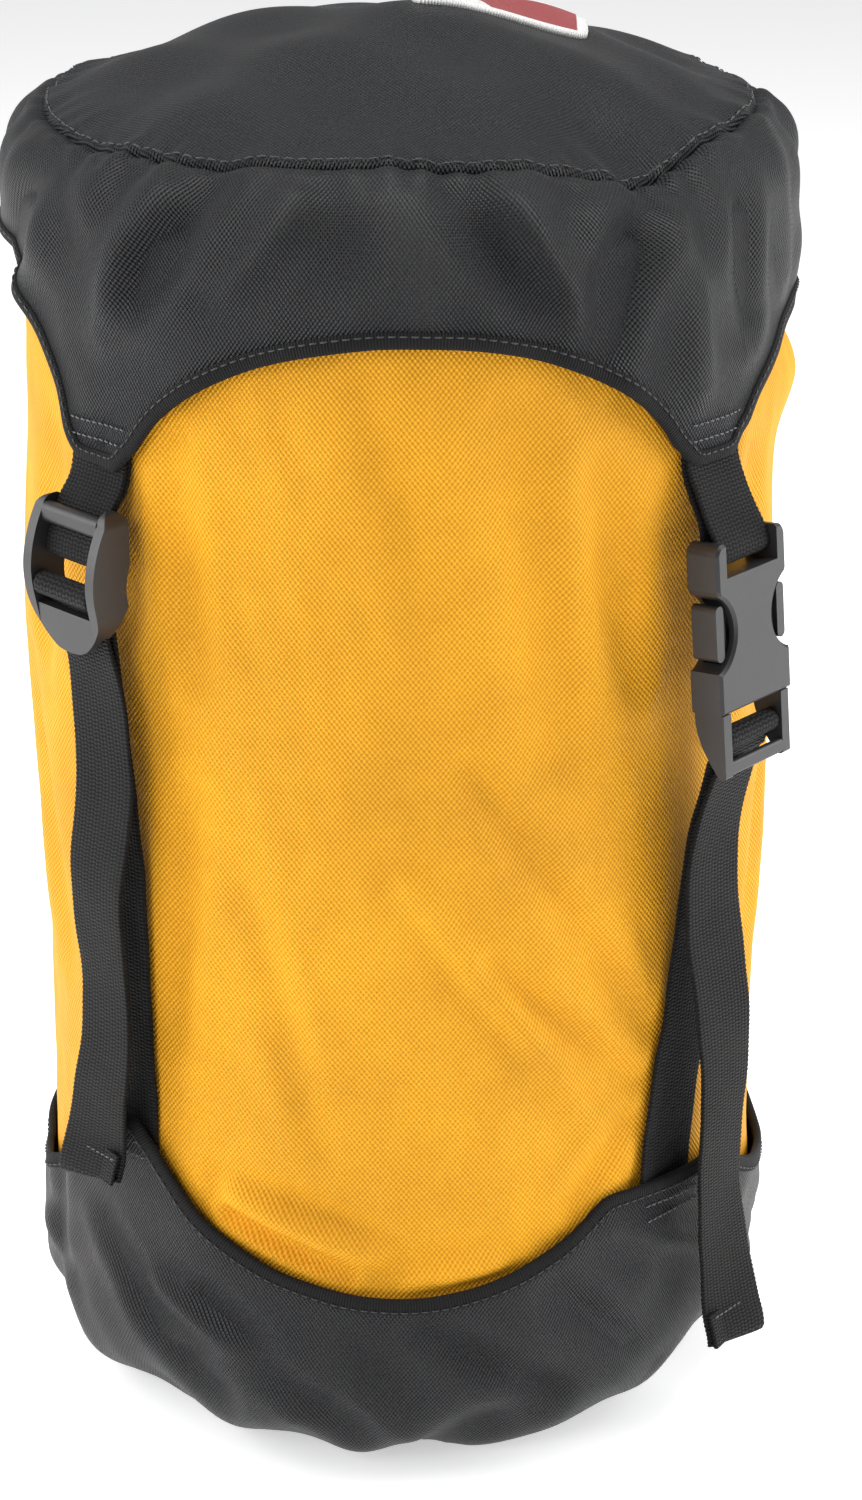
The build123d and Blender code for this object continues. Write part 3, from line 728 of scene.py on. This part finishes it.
def lid(shell):
    az = circle(640)
    radii = np.linspace(1.5, SEAM_S, 72)
    s = radii[None, :] + 0 * az[:, None]
    points = shell.at(az[:, None], s)
    close = np.append(az, 180.0)
    flat = plan(radii, np.radians(close)[:, None])
    centre = (shell.at(0.0, 0.0), (0.0, 0.0))
    crown = thicken(grid_object("lid_crown_panel", points, flat, BLACK, pole=centre, flip=True))
    edge = shell.s_of_z(lid_edge(az), False)[:, None]
    rows = np.linspace(0, 1, 66)[None, :]
    side = shell_panel("lid_side_panel", shell, az, SEAM_S + rows * (edge - SEAM_S), CAP_R, BLACK, True)
    return crown, side


# ---- Base ----
BASE_RIGHT_AZ = 45.0
BASE_ARMS = (-LEFT_AZ, BASE_RIGHT_AZ, 180 - BASE_RIGHT_AZ, 180 + LEFT_AZ)
BASE_ENDS = (118.0, 96.0, 96.0, 118.0)
BASE_CROWNS = (70.0,) * 4


def base_edge(az):
    return scallop(az, BASE_ARMS, BASE_CROWNS, BASE_SPRING_Z, BASE_ENDS)


BASE_FOLDS = (
    ((-52, 74), (-30, 28), 6.0, -2.0),
    ((-40, 60), (-14, 40), 5.0, 1.4),
    ((-30, 62), (-8, 22), 5.0, -1.6),
    ((-12, 50), (2, 16), 5.0, 1.2),
    ((4, 58), (24, 30), 5.0, -1.4),
    ((24, 66), (44, 26), 6.0, -1.8),
    ((34, 84), (58, 60), 5.0, 1.5),
    ((-66, 92), (-72, 40), 6.0, -2.2),
    ((-84, 60), (-60, 22), 6.0, 1.6),
    ((70, 60), (92, 26), 7.0, -2.0),
    ((110, 62), (130, 24), 7.0, -2.0),
    ((150, 56), (168, 22), 6.0, -1.8),
    ((186, 56), (170, 20), 6.0, 1.4),
    ((204, 62), (222, 24), 6.0, -2.0),
    ((240, 66), (256, 28), 6.0, -2.0),
)


def base_bump(az, s, z):
    low = smooth(s, 2, 16)
    heel = gauss(s - 34, 26)
    slack = 1.3 * ripples(51, az, z, (3, 10), (50, 130)) + 0.8 * ripples(52, az, z, (10, 26), (24, 60), 16)
    pucker = -0.9 * gauss(s - 6, 7) * np.abs(ripples(53, az, s, (34, 60), (40, 90)))
    named = sum(fold(az, z, *item) for item in BASE_FOLDS)
    lumps = 2.0 * heel * ripples(54, az, s, (5, 13), (60, 120))
    tuck_in = -5.0 * gauss(turn(az, 62), 26) * gauss(s - 36, 22)
    stand_off = 3.5 * gauss(turn(az, -133), 12) * smooth(z, 80, 112) \
        + 2.0 * gauss(turn(az, -47), 9) * smooth(z, 96, 116)
    shape = low * (slack * (0.5 + heel) + 1.3 * named + lumps + tuck_in - 0.8) + pucker + stand_off
    return np.maximum(shape, LID_CLEAR - 8.0 * (1 - smooth(z, 30, 42)))


def base_profile():
    corner = CAP_R - BASE_FLAT_R
    turns = np.linspace(-pi / 2, 0, 50)
    arc = [(BASE_FLAT_R + corner * cos(t), corner + corner * sin(t) + 0.4) for t in turns]
    return arc + [(CAP_R, max(BASE_ENDS))]


def base(shell):
    az = circle(640)
    edge = shell.s_of_z(base_edge(az), True)[:, None]
    rows = np.linspace(0, 1, 70)[None, :]
    side = shell_panel("base_side_panel", shell, az, rows * edge, CAP_R, BLACK, False)
    radii = np.linspace(BASE_FLAT_R, 2, 30)
    ring = np.radians(circle(160))
    close = np.append(ring, ring[0] + 2 * pi)
    lift = 0.5 + 0.25 * np.sin(radii / 9)[None, :] * np.cos(ring * 3)[:, None]
    points = np.concatenate([plan(radii, ring[:, None]), lift[..., None]], axis=-1)
    flat = plan(radii, close[:, None])
    floor = grid_object("base_floor_panel", points[:, ::-1], flat[:, ::-1], BLACK,
                        pole=(np.array([0, 0, 0.5]), (0.0, 0.0)))
    return side, floor


# ---- Binding tape and stitches along an edge ----
class Edge:
    """Smooth closed line along a shell's scalloped edge, in cloth coordinates."""

    def __init__(self, shell, height, upward):
        self.shell = shell
        az = circle(3600)
        line = pair(np.radians(az) * CAP_R, shell.s_of_z(height(az), upward))
        closing = np.vstack([line, line[:1] + [2 * pi * CAP_R, 0]])
        line = resample(closing, 0.8)[:-1]
        pad = 8                                     # steps over which the line is smoothed
        full = np.array([2 * pi * CAP_R, 0])
        wide = np.vstack([line[-pad:] - full, line, line[:pad] + full])
        kernel = np.hanning(2 * pad + 3)[1:-1]
        kernel /= kernel.sum()
        self.line = np.stack([np.convolve(wide[:, k], kernel, "valid") for k in range(2)], axis=1)
        ends = np.vstack([self.line[-1:] - full, self.line, self.line[:1] + full])
        along = unit(ends[2:] - ends[:-2])
        self.inward = pair(along[:, 1], -along[:, 0])
        step = np.linalg.norm(np.diff(self.line, axis=0), axis=1)
        self.length = np.concatenate([[0], np.cumsum(step)])
        self.total = self.length[-1] + step[-1]

    def at(self, where, inset, out):
        """Points at distances along the edge, inset into the cloth and out from it."""
        where = np.asarray(where, float) % self.total
        u, s = (np.interp(where, self.length, self.line[:, k])
                + np.interp(where, self.length, self.inward[:, k]) * inset for k in range(2))
        return self.shell.at(np.degrees(u / CAP_R), s, out)


# Inset from the edge and distance out from the cloth, round the folded tape.
TAPE_SECTION = ((4.5, 0.05), (4.35, 0.62), (3.2, 0.84), (1.6, 0.9), (0.2, 0.78), (-0.55, 0.25),
                (-0.75, -0.5), (-0.5, -1.3), (0.4, -1.7), (2.2, -1.75), (4.3, -1.55), (4.4, -0.9))


def binding(name, edge):
    rings = np.stack([edge.at(edge.length, inset, out) for inset, out in TAPE_SECTION], axis=1)
    u = np.append(edge.length, edge.total)[:, None]
    v = np.linspace(0, 2 * TAPE_W, len(TAPE_SECTION) + 1)[None, :]
    return ring_object(name, rings, pair(u, v), TAPE, closed=True)


def stitches(name, starts, ends, outs, thread, material):
    """Short rounded threads, each from a start to an end, standing off along outs."""
    size, rows = 6, ((0.0, 0.25), (0.12, 0.85), (0.5, 1.0), (0.88, 0.85), (1.0, 0.25))
    verts, faces, uvs = [], [], []
    for a, b, out in zip(starts, ends, outs):
        along = b - a
        length = np.linalg.norm(along)
        side = np.cross(along / length, out)
        side /= np.linalg.norm(side)
        base_index = len(verts)
        for t, fat in rows:
            lift = 0.35 * thread * sin(pi * t)
            for k in range(size):
                angle = 2 * pi * k / size
                verts.append(a + along * t + side * cos(angle) * thread * fat / 2
                             + out * (sin(angle) * thread * fat / 2 + lift))
        for face in tube_faces(len(rows), size, False):
            faces.append([base_index + k for k in face])
            uvs += [(k % size, length * (k // size)) for k in face]
    return mesh_object(name, verts, faces, uvs, material)


def stitch_line(name, at, starts, ends, thread, material):
    """One stitch from each start to its end; at(where, out) gives the points on the cloth."""
    a = at(starts, 0.0)
    return stitches(name, a, at(ends, 0.0), unit(at(starts, 1.0) - a), thread, material)


def edge_stitches(name, edge):
    """A line of stitching along the binding tape's inner half."""
    inset, out, length = 3.3, 0.95, 2.2
    where = np.linspace(0, edge.total, int(edge.total / 3.1), endpoint=False)
    return stitch_line(name, lambda at, rise: edge.at(at, inset, out + rise), where, where + length,
                       0.5, BLACK_THREAD)


def seam_stitches(name, shell, s, pitch, length, thread, material):
    """A line of stitching round the shell at the distance s along its profile."""
    count = int(2 * pi * np.interp(s, shell.s, shell.r) / pitch)
    az = np.linspace(0, 360, count, endpoint=False)
    return stitch_line(name, lambda at, rise: shell.at(at, s, 0.15 + rise), az,
                       az + 360.0 / count * length / pitch, thread, material)


def arm_stitches(name, shell, arms, heights, upward):
    """Two rows of thread across each arm, where the webbing is sewn under it."""
    places = []
    for arm, height in zip(arms, heights):
        for inset in (8.0, 13.0):
            s = shell.s_of_z(height + inset * (-1 if upward else 1), upward)
            places += [(az, s) for az in np.arange(arm - 5.2, arm + 5.2, 1.15)]
    starts = np.array(places)
    return stitch_line(name, lambda at, rise: shell.at(at[:, 0], at[:, 1], 0.2 + rise), starts,
                       starts + (0.8, 0.25), 0.55, GREY_THREAD)


# ---- Badge ----
BADGE_AT = (31.0, 8.0)
BADGE_HALF = (27.0, 16.0)
BADGE_RISE = 1.35        # the patch's face above the lid's cloth


def badge(shell):
    """Sewn patch that follows the dome; its corners are rounded by a superellipse."""
    rings_in = 14
    t = np.linspace(0, 2 * pi, 96, endpoint=False)
    power = 2 / 7
    ex = np.sign(np.cos(t)) * np.abs(np.cos(t)) ** power * BADGE_HALF[0]
    ey = np.sign(np.sin(t)) * np.abs(np.sin(t)) ** power * BADGE_HALF[1]
    scale = np.append(np.linspace(0.06, 1.0, rings_in), 1.0)
    out = np.append(np.full(rings_in - 1, BADGE_RISE), (1.15, 0.0))
    x = BADGE_AT[0] + ex[:, None] * scale
    y = BADGE_AT[1] + ey[:, None] * scale
    s = np.hypot(x, y)
    points = shell.at(np.degrees(np.arctan2(x, -y)), s, out[None, :])
    uv = pair(ex[:, None] * scale, ey[:, None] * scale)
    uv = np.vstack([uv, uv[:1]])
    middle_az = np.degrees(np.arctan2(BADGE_AT[0], -BADGE_AT[1]))
    centre = (shell.at(middle_az, np.hypot(*BADGE_AT), BADGE_RISE), (0.0, 0.0))
    return thicken(grid_object("sewn_badge", points, uv, BADGE, pole=centre), 0.5)


# ---- Webbing ----
class Station:
    """Place on a strap: x across the webbing, y up it, out from the sack."""

    def __init__(self, azimuth, radius, height, lean=0.0):
        a, t = radians(azimuth), radians(lean)
        away = np.array([sin(a), -cos(a), 0.0])
        up = np.array([0.0, 0.0, 1.0])
        self.x = np.array([cos(a), sin(a), 0.0])
        self.out = away * cos(t) + up * sin(t)
        self.y = up * cos(t) - away * sin(t)
        self.origin = away * radius + up * height

    def at(self, x, y, out):
        x, y, out = (np.asarray(k, float)[..., None] for k in (x, y, out))
        return self.origin + self.x * x + self.y * y + self.out * out


def webbing_section():
    """Half-widths and heights round the webbing's section, with rounded selvedges."""
    across = np.linspace(-0.5, 0.5, 11) * (WEB_W - 1.0)
    crown = 0.5 * WEB_T * (1 - 0.10 * (np.abs(across) / (WEB_W / 2)) ** 4)
    top = list(zip(across, crown))
    side = [(WEB_W / 2, 0.28 * WEB_T), (WEB_W / 2, -0.28 * WEB_T)]
    bottom = [(x, -h) for x, h in reversed(top)]
    other = [(-x, -h) for x, h in side]
    return top + side + bottom + other


SECTION = webbing_section()
STRIP_STEP = 0.55


def strip(name, place, path, drift=None, roll=None, seed=1):
    """Webbing along a path of (up, out) centre-line points; drift(up) moves it sideways, in mm, and
    roll(up) turns it about its length, in degrees."""
    line = resample(catmull(path, 0.5), STRIP_STEP)
    along = unit(np.gradient(line, axis=0))
    normal = pair(-along[:, 1], along[:, 0])
    s = np.arange(len(line)) * STRIP_STEP
    shift = drift(line[:, 0]) if drift else np.zeros(len(line))
    angle = np.radians(roll(line[:, 0])) if roll else np.zeros(len(line))
    tooth = 0.22 * np.cos(2 * pi * s / 1.65) + 0.10 * np.sin(2 * pi * s / 37.0 + seed)
    rings = []
    for x, h in SECTION:
        edge = np.sign(x) * tooth * (abs(x) > WEB_W / 2 - 0.6)
        ripple = 0.14 * np.sin(2 * pi * s / 26.0 + seed + 0.12 * x) * (abs(x) / (WEB_W / 2)) ** 2
        across = (x + edge) * np.cos(angle) + shift
        lift = h + ripple + x * np.sin(angle)
        up, out = line[:, 0] + normal[:, 0] * lift, line[:, 1] + normal[:, 1] * lift
        rings.append(place.at(across, up, out))
    rings = np.stack(rings, axis=1)
    width = np.array([x + 40.0 * (h < 0) for x, h in SECTION] + [SECTION[0][0]])
    return ring_object(name, rings, pair(width[None, :], s[:, None]), WEBBING)


def arc(centre, radius, start, end, step=22.0):
    """Points round a bar, from one angle to another, in the strap's (up, out) plane."""
    count = max(2, int(abs(end - start) / step))
    return [(centre[0] + radius * cos(radians(a)), centre[1] + radius * sin(radians(a)))
            for a in np.linspace(start, end, count + 1)]


def hem_fold(path):
    """The path with its lower end folded back behind itself and sewn."""
    depth = 13.0
    up, out = path[0]
    lean = (path[1][1] - out) / (path[1][0] - up)
    turn_at = (up + 1.0, out - 0.85)
    fold_path = [(up + depth, out - 1.75 + lean * depth),
                 (up + depth * 0.5, out - 1.7 + lean * depth * 0.5),
                 (up + 1.6, out - 1.7)]
    return fold_path + arc(turn_at, 0.85, -120, -240, 40) + [(up + 2.0, out)] + path[1:]


def across_stitches(name, place, up, out, drift):
    """A row of thread across the webbing's outer face."""
    starts, ends = [], []
    for x in np.arange(-10.0, 10.0, 2.4):
        starts.append(place.at(x + drift, up, out))
        ends.append(place.at(x + 1.7 + drift, up + 0.2, out))
    return stitches(name, starts, ends, [place.out] * len(starts), 0.5, GREY_THREAD)


def smooth_table(zs, xs, sign):
    """Sideways sway as a smooth function of height, through a few chosen points."""
    curve = catmull(list(zip(zs, xs)), 1.0)
    return lambda z: sign * np.interp(z, curve[:, 0], curve[:, 1])


def fit(obj, node, body):
    """Webbing that stands for a CAD node and moves with one body."""
    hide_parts(node)
    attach(obj, body)


def ride_and_squash(obj, foot):
    """Webbing that moves with the sack, on a mesh of its own; foot is not used."""
    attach(obj, "sack")
    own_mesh(obj)


def standing(strap, place, path, sway, seed):
    """The strap's anchored part, from the base up to the buckle."""
    webbing = strip(f"standing_webbing_{strap}", place, path, drift=sway, seed=seed)
    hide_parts(f"standing_strap_{strap}")
    ride_and_squash(webbing, path[0][0])


def tail(strap, place, path, sway, twist, hem_at, seed):
    """The strap's loose end, with its hem sewn at hem_at, a (height, out) pair."""
    webbing = strip(f"tail_webbing_{strap}", place, hem_fold(path), drift=sway, roll=twist, seed=seed)
    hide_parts(f"strap_tail_{strap}")
    ride_and_squash(webbing, path[0][0])
    hem = across_stitches(f"tail_hem_stitches_{strap}", place, *hem_at, float(sway(hem_at[0])))
    ride_and_squash(hem, path[0][0])


def left_strap(azimuth, end, seed):
    lock_place = Station(azimuth, LOCK_R, LOCK_Z)
    tube_place = Station(azimuth, STRAP_R, 0.0)
    step = LOCK_R - STRAP_R

    loop_bar, loop_r = (7.5, 5.2), 2.7
    front_leg = [(40, -3.3), (34, -3.2), (28, -1.7), (22, 2.4), (15, 5.4), (10.5, 7.4)]
    rear_leg = [(11, 2.5), (15, 2.05), (22, 1.1), (28, -3.3), (34, -4.75), (44, -4.8)]
    loop_path = front_leg + arc(loop_bar, loop_r, 70, 265) + rear_leg
    loop = strip(f"loop_webbing_left_{end}", lock_place, loop_path, seed=seed)
    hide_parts(f"lid_loop_left_{end}")
    low, high = lock_place.at(0, 22, 0) * MM, lock_place.at(0, 38, 0) * MM
    tuple(low)
    tuple(high)
    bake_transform(loop)

    grip_bar, grip_r = (-3.5, 10.4), 2.9
    wrap_path = [(-LOCK_WRAP_DROP, 3.3), (-9, 4.2), (-5.6, 6.2)] + arc(grip_bar, grip_r, -70, 175) \
        + [(-8.0, 8.4), (-10.6, 6.4), (-LOCK_WRAP_DROP, 5.5)]
    wrap = strip(f"wrap_webbing_left_{end}", lock_place, wrap_path, seed=seed + 1)
    fit(wrap, f"strap_wrap_left_{end}", f"lock_{end}")

    top = LOCK_Z - LOCK_WRAP_DROP
    lean = 1.0 if azimuth > -90 else -1.0
    standing_path = [(98, 0.1), (118, 0.4), (148, 1.3), (220, 3.35), (260, 6.1), (top, step + 3.3)]
    standing(f"left_{end}", tube_place, standing_path, lambda z: lean * 2.6 * smooth(z, 262, 190),
             seed + 2)

    tail_path = [(94, 11.2), (104, 11.0), (130, 12.8), (165, 10.2), (200, 11.6), (236, 9.2), (262, 9.0),
                 (top, step + 5.6)]
    drift_z = [94, 108, 126, 143, 160, 178, 200, 217, 232, 250, 270, top]
    drift_x = [-7.0, -3.0, 2.0, 5.0, 4.0, 2.5, 3.0, 5.0, 6.0, 4.5, 2.5, 0.0]
    sway = smooth_table(drift_z, drift_x, lean)
    tail(f"left_{end}", tube_place, tail_path, sway,
         lambda z: lean * (4.0 * np.sin(z / 21.0) - 8.0 * smooth(z, 130, 96)), (105.0, 12.0), seed + 3)


def right_strap(azimuth, end, seed):
    place = Station(azimuth, BUCKLE_R, BUCKLE_Z, BUCKLE_LEAN)
    tube_place = Station(azimuth, STRAP_R, 0.0)
    step = BUCKLE_R - STRAP_R

    bar, bar_r = (47.2, 6.0), 2.9
    front_leg = [(80, -0.9), (72.5, -0.9), (66, 1.3), (58, 4.6), (51, 7.9)]
    rear_leg = [(51, 2.8), (56, 2.2), (64.2, -0.6), (72.2, -2.55), (81.2, -2.55)]
    loop_path = front_leg + arc(bar, bar_r, 68, 268) + rear_leg
    loop = strip(f"loop_webbing_right_{end}", place, loop_path, seed=seed)
    fit(loop, f"lid_loop_right_{end}", "lid")

    plug_bar, plug_r = (-9.3, 7.4), 2.8
    wrap_path = [(-17.2, 2.0), (-13.4, 3.0), (-10.8, 4.3)] + arc(plug_bar, plug_r, -85, 180) \
        + [(-13.4, 5.9), (-17.2, 4.1)]
    wrap = strip(f"wrap_webbing_right_{end}", place, wrap_path, seed=seed + 1)
    fit(wrap, f"strap_wrap_right_{end}", f"plug_{end}")

    top = BUCKLE_Z - 17.0
    lean = 1.0 if azimuth < 90 else -1.0
    sway_z = [76, 96, 110, 130, 152, 185, 215, top]
    sway_low = smooth_table(sway_z, [-10, -10, -9.5, -7.5, -3.5, -0.6, 0, 0], lean)
    standing_path = [(78, -0.6), (98, -0.2), (126, 1.2), (180, 3.75), (215, 7.6), (top, step + 3.4)]
    standing(f"right_{end}", tube_place, standing_path, sway_low, seed + 2)

    tail_path = [(30, 14.0), (42, 12.4), (70, 10.6), (110, 12.4), (150, 13.4), (190, 11.6), (222, 12.8),
                 (top, step + 5.7)]
    sway_z = [30, 62, 99, 131, 150, 168, 186, 209, 222, top]
    sway = smooth_table(sway_z, [13, 9, 3, 2.6, 0.5, -2, -4.6, -5.4, -3.4, 0], lean)
    tail(f"right_{end}", tube_place, tail_path, sway,
         lambda z: lean * (5.0 * np.sin(z / 24.0 + 0.7) + 6.0 * smooth(z, 80, 32)), (42.0, 13.4),
         seed + 3)


# ---- Build ----
def squash_with_tube(obj, slot):
    """What moves with the sack, on a mesh of its own."""
    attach(obj, "sack")
    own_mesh(obj)


def build_tube():
    shell, cloth = tube()
    packed = load()
    pieces = ((cloth, "body_tube", "yellow_fabric"), (packed, "stuffed_load", "load_fabric"),
              (drawcord_channel(), "drawcord_channel", "yellow_fabric"),
              (grommet(), "channel_eyelet", "eyelet_metal"))
    for obj, node, slot in pieces:
        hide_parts(node)
        squash_with_tube(obj, slot)
    seam = seam_stitches("channel_seam_stitches", shell, shell.s[-1] - 6.0, 2.6, 1.9, 0.4, YELLOW_THREAD)
    squash_with_tube(seam, "yellow_fabric")


def dress(body, panels, trims):
    """Each panel stands for a CAD node; the trims are sewn on, and stand for none."""
    for obj, node, slot in panels:
        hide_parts(node)
        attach(obj, body)
    for obj in trims:
        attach(obj, body)


def build_lid():
    shell = Shell(lid_profile(), -1, lid_bump, lid_sag)
    crown, side = lid(shell)
    edge = Edge(shell, lid_edge, False)
    panels = ((crown, "lid_disc", "black_fabric"), (side, "lid_skirt", "black_fabric"),
              (binding("lid_tape", edge), "lid_binding", "binding_tape"),
              (badge(shell), "lid_badge", "badge"))
    trims = (edge_stitches("lid_tape_stitches", edge),
             seam_stitches("lid_seam_stitches", shell, SEAM_S - 2.3, 4.0, 3.0, 0.5, BLACK_THREAD),
             arm_stitches("lid_arm_stitches", shell, LID_ARMS, (LID_ARM_Z,) * 4, False))
    dress("lid", panels, trims)


def build_base():
    shell = Shell(base_profile(), 1, base_bump)
    side, floor = base(shell)
    edge = Edge(shell, base_edge, True)
    panels = ((side, "base_skirt", "black_fabric"), (floor, "base_disc", "black_fabric"),
              (binding("base_tape", edge), "base_binding", "binding_tape"))
    trims = (edge_stitches("base_tape_stitches", edge),
             seam_stitches("base_seam_stitches", shell, 5.0, 4.0, 3.0, 0.55, BLACK_THREAD),
             arm_stitches("base_arm_stitches", shell, BASE_ARMS, BASE_ENDS, True))
    dress("sack", panels, trims)


def finish_hardware():
    """The moulded parts keep their shape and get satin plastic with broken edges."""
    for name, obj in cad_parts.items():
        if name.startswith(("ladder_lock", "buckle_", "plug_arm")):
            for slot in obj.material_slots:
                slot.material = PLASTIC
            edge = obj.modifiers.new("edge_break", "BEVEL")
            edge.width = 0.4 * MM
            edge.segments = 2
            edge.limit_method = "ANGLE"
            edge.angle_limit = radians(40)
            edge.harden_normals = True


def area_light(name, place, size, power):
    data = bpy.data.lights.new(name, "AREA")
    data.shape = "RECTANGLE"
    data.size, data.size_y = size
    data.energy = power
    lamp = bpy.data.objects.new(name, data)
    lamp.location = place
    lamp.rotation_euler = (Vector(SACK_MIDDLE) - Vector(place)).to_track_quat("-Z", "Y").to_euler()
    bpy.context.scene.collection.objects.link(lamp)


# Name, place, size and power of each lamp; all of them face the middle of the sack.
SACK_MIDDLE = (0, 0, 0.24)
LAMPS = (
    ("left_softbox", (-1.5, -0.1, 0.9), (1.0, 1.6), 24),
    ("right_softbox", (1.5, 0.0, 0.9), (1.0, 1.6), 27),
    ("top_softbox", (0.0, 0.25, 1.9), (1.5, 1.2), 27),
    ("front_softbox", (-1.0, -1.9, 1.3), (1.0, 1.0), 16),
)
FLOOR_REACH = 14.0
WORLD_STRENGTH = 0.27
CAMERA_PLACE = (0.00956, -1.080, 0.62214)
CAMERA_TILT = 69.007
CAMERA_LENS = 84.07


def pale_stage():
    world = bpy.data.worlds.new("studio")
    world.use_nodes = True
    background = world.node_tree.nodes["Background"].inputs
    background["Color"].default_value = (1, 1, 1, 1)
    background["Strength"].default_value = WORLD_STRENGTH
    bpy.context.scene.world = world
    corners = [(x * FLOOR_REACH, y * FLOOR_REACH, 0) for x, y in ((-1, -1), (1, -1), (1, 1), (-1, 1))]
    mesh = bpy.data.meshes.new("floor")
    mesh.from_pydata(corners, [], [(0, 1, 2, 3)])
    mesh.materials.append(floor_material())
    floor = bpy.data.objects.new("floor", mesh)
    bpy.context.scene.collection.objects.link(floor)
    floor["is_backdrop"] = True


def camera():
    scene = bpy.context.scene
    scene.view_settings.view_transform = "Standard"
    data = bpy.data.cameras.new("camera")
    data.sensor_fit = "VERTICAL"
    data.sensor_height = 36.0
    data.lens = CAMERA_LENS
    eye = bpy.data.objects.new("camera", data)
    eye.location = CAMERA_PLACE
    eye.rotation_euler = (radians(CAMERA_TILT), 0, 0)
    scene.collection.objects.link(eye)
    scene.camera = eye


build_tube()
build_lid()
build_base()
left_strap(-LEFT_AZ, "front", 1)
left_strap(LEFT_AZ - 180, "back", 11)
right_strap(RIGHT_AZ, "front", 21)
right_strap(180 - RIGHT_AZ, "back", 31)
finish_hardware()
pale_stage()
for lamp in LAMPS:
    area_light(*lamp)
camera()

boxes = {"cad": CAD_BOX, "visual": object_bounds()}
{name: [[float(x) for x in corner] for corner in box] for name, box in boxes.items()}
